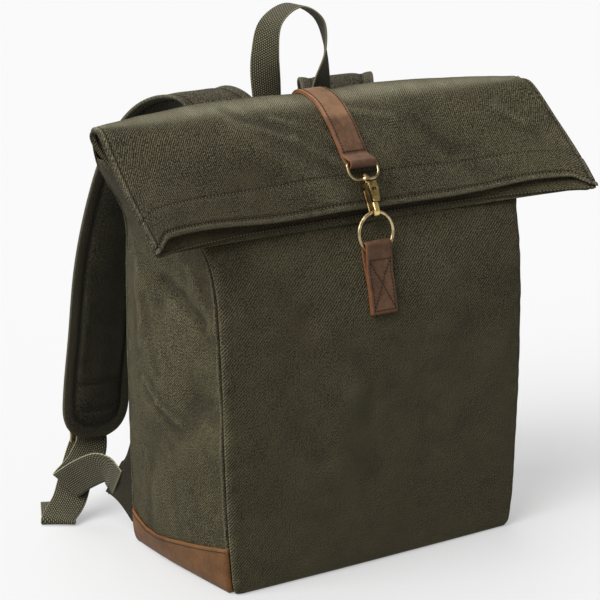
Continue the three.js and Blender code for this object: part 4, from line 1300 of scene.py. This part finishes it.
# %% Clasp loop and boss
LOOP_WIRE, LOOP_INNER_WIDTH, LOOP_INNER_HEIGHT = 2.6, 27.0, 11.2
LOWER_CORNER, UPPER_CORNER = 7.0 + LOOP_WIRE / 2, 1.6
CLASP_TILT = math.radians(-27)
BOSS_PROFILE = [
    # radius and height in mm
    (2.2, 1.4), (2.8, 1.7), (3.3, 1.5), (3.6, 1.0),
    (3.6, -1.0), (3.3, -1.5), (2.8, -1.7), (2.2, -1.4),
]
bar_spacing = (LOOP_INNER_HEIGHT + LOOP_WIRE) * MM
clasp_origin = np.array([
    0,
    clasp_eye[0] + bar_spacing * math.sin(CLASP_TILT),
    clasp_eye[1] - bar_spacing * math.cos(CLASP_TILT),
])


def on_clasp(x, y, z):
    """A place given in the clasp's own millimetres."""
    y, z = y * MM, z * MM
    c, s = math.cos(CLASP_TILT), math.sin(CLASP_TILT)
    return clasp_origin + np.array([x * MM, y * c - z * s, y * s + z * c])


def full_turn(count):
    return np.linspace(0, 2 * math.pi, count, endpoint=False)


def doughnut(name, rings, finish):
    """A skin over rings of points that closes both round and along."""
    at = np.arange(rings.shape[0] * rings.shape[1]).reshape(rings.shape[:2])
    faces = quads(np.pad(at, 1, mode="wrap")[1:, 1:]).tolist()
    return new_piece(name, rings.reshape(-1, 3), faces, np.zeros((at.size, 2)), finish)


def tube(name, points, radius, finish, sides):
    """A round wire bent along a closed flat line."""
    along = unit(np.roll(points, -1, axis=0) - np.roll(points, 1, axis=0))
    spokes = points - points.mean(0)
    plane = unit(np.cross(spokes[0], spokes[len(points) // 4]))
    across = unit(np.cross(along, plane))
    through = np.cross(along, across)
    turns = full_turn(sides)[None, :, None]
    reach = across[:, None] * np.cos(turns) + through[:, None] * np.sin(turns)
    return doughnut(name, points[:, None] + radius * reach, finish)


def dee_points():
    """The wire's middle line: a flat top bar, straight sides and round lower corners."""
    half_w = (LOOP_INNER_WIDTH + LOOP_WIRE) / 2
    half_h = (LOOP_INNER_HEIGHT + LOOP_WIRE) / 2
    turns = [
        # hand, up or down, start in half turns and radius of each corner
        (-1, -1, 1.0, LOWER_CORNER),
        (1, -1, 1.5, LOWER_CORNER),
        (1, 1, 0.0, UPPER_CORNER),
        (-1, 1, 0.5, UPPER_CORNER),
    ]
    spots = []
    for hand, up, start, radius in turns:
        for t in np.linspace(start, start + 0.5, 10) * math.pi:
            x = hand * (half_w - radius) + radius * math.cos(t)
            z = half_h + up * (half_h - radius) + radius * math.sin(t)
            spots.append(on_clasp(x, 0, z))
    return np.array(spots)


settle(tube("clasp_wire_loop", dee_points(), LOOP_WIRE / 2 * MM, BRASS, 14), "brass", "clasp_loop")
boss_rings = np.array([
    [on_clasp(r * math.cos(t), r * math.sin(t), z) for r, z in BOSS_PROFILE] for t in full_turn(32)
])
settle(doughnut("swivel_boss", boss_rings, BRASS), "brass")
print("clasp origin", np.round(clasp_origin, 4))

# %% Gate plate and painted highlight on the hook
PLATE_ROWS = [(-4.9, 4.2), (-9.0, 4.5), (-11.6, 4.2), (-20.9, 2.6)]
PLATE_WINDOW, PLATE_FRONT, PLATE_BACK = 2.4, -8.0, -6.95
SHINE_FROM, SHINE_OVER = 1.0, 2.0


def gate_plate(name, finish):
    """The gate's broad tapered front below the hook's ears: 3 by 3 cells, the middle one open."""
    spots = []
    for z, half in PLATE_ROWS:
        spots += [on_clasp(x, PLATE_FRONT, z) for x in (-half, -PLATE_WINDOW, PLATE_WINDOW, half)]
    cells = quads(np.arange(16).reshape(4, 4))[:, ::-1].tolist()
    del cells[4]
    plate = new_piece(name, spots, cells, np.zeros((len(spots), 2)), finish)
    thicker = plate.modifiers.new("thickness", "SOLIDIFY")
    thicker.thickness = (PLATE_BACK - PLATE_FRONT) * MM
    thicker.offset = -1
    bevel(plate, 0.25 * MM)
    keep_applied(plate)
    return plate


settle(gate_plate("gate_plate", LEVER_BRASS), "brass", body="gate")
# A painted highlight: the hook is brighter the further forward of the swivel it reaches.
hook_spots = np.array([spot.co for spot in hook.data.vertices]) - clasp_origin
hook_forward = hook_spots @ (clasp_origin - on_clasp(0, 1, 0)) / MM**2
store(hook.data, "wear", np.clip((hook_forward - SHINE_FROM) / SHINE_OVER, 0, 1))
print("hook reaches", round(float(hook_forward.max()), 1), "mm forward of the swivel")

# %% Ring
RING_TILT = math.radians(-6)
RING_RADIUS, RING_WIRE = 17 * MM, 1.5 * MM
HOOK_REACH, HOOK_INNER, RING_PLAY = 27.5, 2.9, 0.9
ring_down = np.array([0, math.sin(RING_TILT), -math.cos(RING_TILT)])
ring_out = np.array([0, -math.cos(RING_TILT), -math.sin(RING_TILT)])
grip = on_clasp(0, 0, -HOOK_REACH - HOOK_INNER + RING_WIRE / MM + RING_PLAY)
ring_middle = grip + RING_RADIUS * ring_down
turns = full_turn(72)[:, None]
ring_spokes = np.array([1.0, 0, 0]) * np.cos(turns) + ring_down * np.sin(turns)
ring = tube("front_ring", ring_middle + RING_RADIUS * ring_spokes, RING_WIRE, BRASS, 16)
settle(ring, "brass", "closure_ring")
print("ring middle", np.round(ring_middle, 4))

# %% Ring tab
LEATHER_THICK = 2 * MM
TAB_WIDTH, TAB_THICK = 26 * MM, 1.92 * MM
TAB_ROWS = (5.9, 6.75)


def tab_route():
    """Up the front panel, through the ring and back down over itself."""
    slot_half = RING_WIRE + TOUCH_GAP
    layer_half = slot_half + LEATHER_THICK / 2
    slot_top = math.sqrt((RING_RADIUS - RING_WIRE) ** 2 - (TAB_WIDTH / 2) ** 2) - TOUCH_GAP
    slot_high = slot_top + slot_half

    def on_ring(down, out):
        return ring_middle + ring_down * down + ring_out * out

    rows = np.linspace(*TAB_ROWS, 24)
    behind = panels["front"].at(0.5, rows, TOUCH_GAP + LEATHER_THICK / 2)
    before = panels["front"].at(0.5, rows, TOUCH_GAP + LEATHER_THICK * 1.5)[::-1]
    bend = [on_ring(RING_RADIUS, -layer_half)]
    for t in np.linspace(math.pi, 0, 14):
        bend.append(on_ring(slot_high - layer_half * math.sin(t), layer_half * math.cos(t)))
    bend.append(on_ring(RING_RADIUS, layer_half))
    route = np.concatenate([behind, bend, before])
    route[:, 0] = 0
    return smooth_line(route, 3)


tab_line = tab_route()
tab_across = level(tab_line)
tab = band("ring_tab_leather", tab_line, tab_across, TAB_WIDTH, TAB_THICK, LEATHER)
settle(tab, "leather", "ring_tab")
tab_length = float(walked_along(tab_line)[-1])
print("tab strip length", round(tab_length, 3))

# %% Foot trims
TRIM_FOOT = 0.35
TRIM_FORWARD, TRIM_TOP = [0, 0.2, 0.35, 0.7, 1], [2.05, 1.74, 1.8, 2.08, 2.3]
TRIM_COLUMNS, TRIM_STEPS = 56, 22
TRIM_OUT = TOUCH_GAP + LEATHER_THICK
TRIM_SWELL = 0.3 * MM


def trim_rows(side, across, up):
    """Rows of the cloth under the trim, from its foot at up = 0 to its top edge at up = 1."""
    forward = across if side == "left" else 1 - across
    top = np.interp(forward, TRIM_FORWARD, TRIM_TOP)
    return TRIM_FOOT + (top - TRIM_FOOT) * up


across, up = np.meshgrid(np.linspace(0, 1, TRIM_COLUMNS), np.linspace(0, 1, TRIM_STEPS))
for side in SIDES:
    rows = trim_rows(side, across, up)
    outer = panels[side].at(across, rows, TRIM_OUT + TRIM_SWELL * np.sin(math.pi * up))
    inner = panels[side].at(across, rows, TOUCH_GAP)
    uv = np.stack([across * 0.16, rows * 0.02], axis=-1)
    wear = 0.2 * bell(up, 1.0, 0.05) + 0.2 * bell(up, 0.0, 0.12)
    trim = wall(f"{side}_foot_leather", outer, inner, uv, TRIM_LEATHER, wear)
    settle(trim, "leather", f"{side}_base_trim")
print("trims:", len(trim.data.polygons), "faces each")

# %% [markdown]
# ## Padded shoulder straps
# A strap is foam in canvas with a bound border: a flat rim, a sewn groove and a crowned middle.
# The shape starts from the distance to the strap's outline. Then a short cloth simulation blows
# the cover up a little between its sewn lines, which are pinned, as real foam does.

# %% Strap shape
STRAP_ROUTE = [
    # x, y, z and half the thickness, in mm, for the left strap
    (-52, 62.4, 299, 3),
    (-52, 53, 321, 4),
    (-53, 52.5, 345, 5),
    (-58, 63.5, 367, 6),
    (-71, 84, 377, 6),
    (-89, 108, 364, 6),
    (-104, 128.5, 330, 6),
    (-113, 144, 283, 6),
    (-120, 156, 225, 6),
    (-124, 163, 160, 6),
    (-128.5, 166, 110, 6),
    (-130.5, 167, 66, 4.5),
]
STRAP_STEP = 3.2 * MM
PAD_HALF, PAD_END = 33 * MM, 34 * MM
END_POWER, END_SHARE = 2.4, 0.93
BORDER, BORDER_SWELL = 10 * MM, 0.7 * MM
RIM_HALF = 1.5 * MM
CORNER_SOFT, CROWN_SOFT = 6 * MM, 6 * MM
TACK_ROWS = (28 * MM, 52 * MM)
TACK_DEPTH, TACK_SPREAD, TACK_REACH = 1.5 * MM, 3 * MM, 19 * MM
LINING_TONE = 0.62
COLUMN_SHARES = np.array([
    0, 0.1, 0.2, 0.32, 0.44, 0.55, 0.62, 0.66, 0.70, 0.74, 0.79, 0.86, 0.93, 0.975, 1,
])
STRAP_COLUMNS = np.concatenate([-COLUMN_SHARES[:0:-1], COLUMN_SHARES])
STRAP_MIDDLE = len(COLUMN_SHARES) - 1


def strap_lines(side):
    """The strap's middle line in even steps, with half its thickness at each."""
    table = np.array(STRAP_ROUTE)
    places = smooth_line(table[:, :3] * np.array([SIDES[side], 1, 1]) * MM, 12)
    stations = np.linspace(0, len(table) - 1, len(places))
    half = np.interp(stations, np.arange(len(table)), table[:, 3]) * MM
    middle, across, marks = even_line(places, level(places), STRAP_STEP)
    return middle, across, marks, np.interp(marks, walked_along(places), half)


def half_width(to_end):
    past = np.clip(1 - to_end / PAD_END, 0, 1)
    return PAD_HALF * (1 - END_SHARE * past**END_POWER) ** (1 / END_POWER)


def strap_depth(inside, half):
    """Half the thickness at a distance inside the outline."""
    border = RIM_HALF + BORDER_SWELL * np.sin(np.clip(inside / BORDER, 0, 1) * math.pi)
    crown = RIM_HALF + (half - RIM_HALF) * (1 - np.exp(-np.clip(inside - BORDER, 0, 1) / CROWN_SOFT))
    return np.where(inside < BORDER, np.minimum(border, half), np.minimum(crown, half))


def strap_grid(side):
    """The strap's middle layer, the way from it to the upper face, the distance inside and the UV."""
    middle, across, marks, half = strap_lines(side)
    to_end = marks[-1] - marks
    width = half_width(to_end)
    over, through = band_frames(middle, across)
    x = STRAP_COLUMNS[None, :] * width[:, None]
    slope = np.gradient(width, marks)[:, None]
    inside = (width[:, None] - np.abs(x)) / np.sqrt(1 + slope**2)
    end_share = np.exp(-inside / CORNER_SOFT) + np.exp(-to_end[:, None] / CORNER_SOFT)
    inside = np.maximum(-CORNER_SOFT * np.log(end_share), 0)
    depth = strap_depth(inside, half[:, None])
    for row in TACK_ROWS:
        depth -= TACK_DEPTH * bell(to_end, row, TACK_SPREAD)[:, None] * np.exp(-((x / TACK_REACH) ** 6))
    core = middle[:, None] + over[:, None] * x[..., None]
    shift = through[:, None] * depth[..., None]
    uv = np.stack(np.broadcast_arrays(x + PAD_HALF, marks[:, None]), axis=-1)
    return core, shift, inside, uv


def strap_cover(side):
    """The closed cover, the numbers of its sewn points and the grid it was made from."""
    core, shift, inside, uv = strap_grid(side)
    wear = 0.4 * (inside < BORDER - 1.2 * MM) + 0.3 * bell(inside, 0, 1.5 * MM)
    # Painted shade along the sewn groove between border and padding.
    dusk = bell(inside, BORDER, 1.2 * MM)
    name = f"{side}_padded_strap"
    piece = wall(name, core + shift, core - shift, uv, STRAP_CANVAS, wear, dusk, LINING_TONE)
    sewn = (inside < 0.8 * MM) | (np.abs(inside - BORDER) < 1.6 * MM)
    sewn[:3] = True
    rim = np.ones(len(piece.data.vertices) - 2 * inside.size, bool)
    flags = np.concatenate([sewn.ravel(), sewn.ravel(), rim])
    return piece, np.flatnonzero(flags), (core, shift, inside)


print("strap grid:", len(STRAP_COLUMNS), "columns")

# %% Strap simulation
PRESSURE = 4.0
PUFF_FRAMES = 20
PUFF_CAP = 1.6 * MM


def puff(piece, sewn):
    """Blows the cover up between its sewn lines and keeps each point within the cap."""
    group = piece.vertex_groups.new(name="sewn")
    group.add(sewn.tolist(), 1.0, "REPLACE")
    cloth = piece.modifiers.new("puff", "CLOTH")
    cloth.settings.vertex_group_mass = "sewn"
    cloth.settings.use_pressure = True
    cloth.settings.uniform_pressure_force = PRESSURE
    cloth.settings.effector_weights.gravity = 0
    cloth.settings.quality = 5
    cloth.point_cache.frame_start = 1
    cloth.point_cache.frame_end = PUFF_FRAMES
    for step in range(1, PUFF_FRAMES + 1):
        scene.frame_set(step)
    evaluated = piece.evaluated_get(bpy.context.evaluated_depsgraph_get())
    after = np.array([v.co for v in evaluated.data.vertices])
    before = np.array([v.co for v in piece.data.vertices])
    move = after - before
    length = np.linalg.norm(move, axis=1, keepdims=True)
    move *= np.minimum(1, PUFF_CAP / np.maximum(length, 1e-9))
    piece.modifiers.remove(cloth)
    piece.vertex_groups.remove(group)
    scene.frame_set(1)
    piece.data.vertices.foreach_set("co", (before + move).astype(np.float32).ravel())
    piece.data.update()
    return float(length.max())


strap_grids = {}
for side in SIDES:
    cover, sewn, strap_grids[side] = strap_cover(side)
    moved = puff(cover, sewn)
    smoother = cover.modifiers.new("smoother", "SUBSURF")
    smoother.levels = smoother.render_levels = 1
    keep_applied(cover)
    settle(cover, "canvas", f"{side}_shoulder_strap")
    print(side, "strap:", len(cover.data.polygons), "faces, largest move", round(moved / MM, 2), "mm")

# %% [markdown]
# ## Stitches
# Thread is what holds all of this together, and hundreds of small stitches are what a viewer
# reads as sewing. Each seam is a line with a direction that points out of the cloth. One Geometry
# Nodes tree walks along the lines and lays a small rounded stitch at every step.

# %% Stitch tree
STITCH_INPUTS = {
    "Pitch": "Float",
    "Length": "Float",
    "Thick": "Float",
    "Seed": "Int",
    "Thread": "Material",
}
SHORTEST, LONGEST = 0.85, 1.1


def stitch_tree():
    tree = bpy.data.node_groups.new("stitch_rows", "GeometryNodeTree")
    face = tree.interface
    face.new_socket("Geometry", in_out="INPUT", socket_type="NodeSocketGeometry")
    for label, kind in STITCH_INPUTS.items():
        face.new_socket(label, in_out="INPUT", socket_type="NodeSocket" + kind)
    face.new_socket("Geometry", in_out="OUTPUT", socket_type="NodeSocketGeometry")

    def add(kind, sockets=None, **settings):
        node = tree.nodes.new(kind)
        for key, value in settings.items():
            setattr(node, key, value)
        for key, value in (sockets or {}).items():
            node.inputs[key].default_value = value
        return node

    given = add("NodeGroupInput")
    lines = add("GeometryNodeMeshToCurve")
    steps = add("GeometryNodeResampleCurve", mode="LENGTH")
    stitch = add("GeometryNodeMeshUVSphere", {"Segments": 8, "Rings": 4, "Radius": 0.5})
    tangent = add("GeometryNodeInputTangent")
    outward = add("GeometryNodeInputNamedAttribute", data_type="FLOAT_VECTOR")
    outward.inputs["Name"].default_value = "out"
    facing = add("FunctionNodeAxesToRotation", primary_axis="X", secondary_axis="Z")
    uneven = add("FunctionNodeRandomValue", {2: SHORTEST, 3: LONGEST}, data_type="FLOAT")
    size = add("ShaderNodeCombineXYZ")
    long = add("ShaderNodeMath", operation="MULTIPLY")
    laid = add("GeometryNodeInstanceOnPoints")
    real = add("GeometryNodeRealizeInstances")
    dyed = add("GeometryNodeSetMaterial")
    given_out = add("NodeGroupOutput")
    for source, output, target, socket in (
        (given, "Geometry", lines, "Mesh"),
        (lines, "Curve", steps, "Curve"),
        (given, "Pitch", steps, "Length"),
        (steps, "Curve", laid, "Points"),
        (stitch, "Mesh", laid, "Instance"),
        (tangent, "Tangent", facing, "Primary Axis"),
        (outward, "Attribute", facing, "Secondary Axis"),
        (facing, "Rotation", laid, "Rotation"),
        (given, "Seed", uneven, "Seed"),
        (uneven, 1, long, 0),
        (given, "Length", long, 1),
        (long, 0, size, 0),
        (given, "Thick", size, "Y"),
        (given, "Thick", size, "Z"),
        (size, 0, laid, "Scale"),
        (laid, "Instances", real, "Geometry"),
        (real, "Geometry", dyed, "Geometry"),
        (given, "Thread", dyed, "Material"),
        (dyed, "Geometry", given_out, "Geometry"),
    ):
        tree.links.new(source.outputs[output], target.inputs[socket])
    return tree


STITCHES = stitch_tree()


def sew(name, lines, pitch, length, thick, thread, slot, seed):
    """Stitches along lines, each a list of places with the directions out of the cloth."""
    places = np.concatenate([line for line, _ in lines])
    outs = np.concatenate([out for _, out in lines])
    edges, first = [], 0
    for line, _ in lines:
        edges += [(first + k, first + k + 1) for k in range(len(line) - 1)]
        first += len(line)
    mesh = bpy.data.meshes.new(name)
    mesh.from_pydata(places.tolist(), edges, [])
    column = mesh.attributes.new("out", "FLOAT_VECTOR", "POINT")
    column.data.foreach_set("vector", outs.astype(np.float32).ravel())
    piece = linked(name, mesh)
    rows = piece.modifiers.new("stitches", "NODES")
    rows.node_group = STITCHES
    values = {"Pitch": pitch, "Length": length, "Thick": thick, "Seed": seed, "Thread": thread}
    for item in STITCHES.interface.items_tree:
        if item.in_out == "INPUT" and item.name in values:
            rows[item.identifier] = values[item.name]
    piece.update_tag()
    keep_applied(piece)
    piece.data.shade_smooth()
    settle(piece, slot)
    print(name, len(piece.data.polygons), "faces")


def panel_stitch(panel, across, rows, out):
    """A stitch line over a panel. A negative out is the inside."""
    line = panel.at(across, rows, out)
    return line, unit(line - panel.at(across, rows, out - np.sign(out) * MM))


print("stitch tree:", len(STITCHES.nodes), "nodes")

# %% Stitches in the cloth
STITCH_LIFT = 0.12 * MM
back, front = panels["back"], panels["front"]
many = np.linspace(0.012, 0.988, 400)
hem_rows = [back.row_at(back.height - away) for away in (HEM_STITCH, HEM_DEPTH)]
canvas_lines = [panel_stitch(back, many, row, STITCH_LIFT) for row in hem_rows]
inner_row = front.row_at(front.height - HEM_STITCH)
canvas_lines.append(panel_stitch(front, many, inner_row, -CLOTH_THICK - STITCH_LIFT))
sew("canvas_stitches", canvas_lines, 3.4 * MM, 2.0 * MM, 1.1 * MM, HEM_THREAD, "canvas", 3)

# %% Stitches in the leather
LEATHER_INSET = 2.7 * MM
TRIM_STITCH = 2.4 * MM
TAB_SEWN = (45.5 * MM, 3.5 * MM)
SEAM_PLACES = 24


def band_stitch(line, across, span, offsets, lift):
    """A stitch line on a band between two distances along it, with its offset to the side at both.
    Two equal distances give a row straight over the band. A negative lift is the lower face."""
    points, directions, walked = even_line(line, across, 1.0 * MM)
    over, through = band_frames(points, directions)
    start, end = span
    if start == end:
        places = np.full(SEAM_PLACES, np.argmin(np.abs(walked - start)))
    else:
        places = np.flatnonzero((walked >= start) & (walked <= end))
    reach = np.linspace(*offsets, len(places))[:, None]
    spots = points[places] + over[places] * reach + through[places] * lift
    return spots, through[places] * np.sign(lift)


def box_rows(start, end, half):
    """The sides, ends and diagonals of a sewn box, each as its span and its offsets."""
    sides = [((start, end), (hand * half, hand * half)) for hand in (-1, 1)]
    ends = [((mark, mark), (-half, half)) for mark in (start, end)]
    diagonals = [((start, end), (-hand * half, hand * half)) for hand in (-1, 1)]
    return sides, ends, diagonals


leather_lines = []
for side in SIDES:
    panel = panels[side]
    share = np.linspace(0.015, 0.985, 120)
    top = np.interp(trim_rows(side, share, 1.0), panel.rows, panel.up)
    rows = panel.row_at(top - TRIM_STITCH)
    leather_lines.append(panel_stitch(panel, share, rows, TRIM_OUT + STITCH_LIFT))
# The upper layer runs back up the strap, so its outer face is the negative one
closure_lift = -(CLOSURE_THICK / 2 + STITCH_LIFT)
closure_sewn = (closure_length * 0.5 + 18 * MM, closure_length - 3 * MM)
sides, ends, _ = box_rows(*closure_sewn, CLOSURE_WIDTH / 2 - LEATHER_INSET)
for span, offsets in sides + ends[:1]:
    leather_lines.append(band_stitch(closure_line, closure_across, span, offsets, closure_lift))
tab_high, tab_low = (tab_length - away for away in TAB_SEWN)
sides, ends, diagonals = box_rows(tab_high, tab_low, TAB_WIDTH / 2 - LEATHER_INSET)
for span, offsets in sides + ends + diagonals:
    leather_lines.append(band_stitch(tab_line, tab_across, span, offsets, TAB_THICK / 2 + STITCH_LIFT))
sew("leather_stitches", leather_lines, 2.8 * MM, 2.6 * MM, 1.0 * MM, DARK_THREAD, "leather", 5)

# %% Stitches in the webbing
FOOT_SEWN, FOOT_START, FOOT_INSET = 21 * MM, 2.5 * MM, 11.5 * MM
KEEPER_SEWN = (3 * MM, 20 * MM)
webbing_lift = WEBBING_THICK / 2 + STITCH_LIFT
webbing_lines = list(tab_stitches)
for start in (FOOT_START, handle_length - FOOT_START - FOOT_SEWN):
    sides, ends, diagonals = box_rows(start, start + FOOT_SEWN, FOOT_INSET)
    for span, offsets in (sides[0], diagonals[0], sides[1], diagonals[1], *ends):
        webbing_lines.append(band_stitch(handle_line, handle_across, span, offsets, webbing_lift))
for line in keeper_lines:
    for away in KEEPER_SEWN:
        mark = walked_along(line)[-1] - away
        offsets = (-FOOT_INSET, FOOT_INSET)
        webbing_lines.append(band_stitch(line, level(line), (mark, mark), offsets, webbing_lift))
sew("webbing_stitches", webbing_lines, 2.8 * MM, 2.2 * MM, 0.75 * MM, OLIVE_THREAD, "webbing", 12)

# %% Stitches in the straps
STRAP_LIFT, TACK_LIFT = 0.25 * MM, 0.35 * MM
TACK_NUDGES = (-0.9 * MM, 0, 0.9 * MM)
TACK_COLUMNS = slice(STRAP_MIDDLE - 7, STRAP_MIDDLE + 8)
ROOT_COLUMNS = slice(STRAP_MIDDLE - 11, STRAP_MIDDLE + 12)
ROOT_STATIONS = (2, 6)


def border_line(core, shift, inside, hand):
    """The seam between border and padding on the face that shift points to, on one hand."""
    columns = slice(STRAP_MIDDLE, None, hand)
    grid, outward = core + shift, unit(shift)
    spots, outs = [], []
    for i in range(2, len(core)):
        distance = inside[i, columns]
        if distance.max() < BORDER:
            break
        f = np.interp(-BORDER, -distance, np.arange(len(distance)))
        k = min(int(f), len(distance) - 2)
        line = grid[i, columns]
        spots.append(line[k] * (1 - f + k) + line[k + 1] * (f - k))
        outs.append(outward[i, STRAP_MIDDLE])
    return np.array(spots) + np.array(outs) * STRAP_LIFT, np.array(outs)


border_lines, tack_lines = [], []
for core, shift, inside in strap_grids.values():
    faces = (shift, -shift)
    border_lines += [border_line(core, face, inside, hand) for face in faces for hand in (-1, 1)]
    walked = walked_along(core[:, STRAP_MIDDLE])
    for row in TACK_ROWS:
        for nudge in TACK_NUDGES:
            place = np.interp(walked[-1] - row + nudge, walked, np.arange(len(walked)))
            i = int(place)
            for face in faces:
                grid = (core + face)[:, TACK_COLUMNS]
                outs = unit(face)[i, TACK_COLUMNS]
                spots = grid[i] * (1 - place + i) + grid[i + 1] * (place - i) + outs * TACK_LIFT
                tack_lines.append((spots, outs))
    for i in ROOT_STATIONS:
        outs = unit(-shift)[i, ROOT_COLUMNS]
        border_lines.append(((core - shift)[i, ROOT_COLUMNS] + outs * STRAP_LIFT, outs))
sew("strap_stitches", border_lines, 2.8 * MM, 2.3 * MM, 0.75 * MM, DARK_THREAD, "canvas", 8)
sew("tack_stitches", tack_lines, 1.7 * MM, 1.5 * MM, 0.9 * MM, OLIVE_THREAD, "canvas", 9)
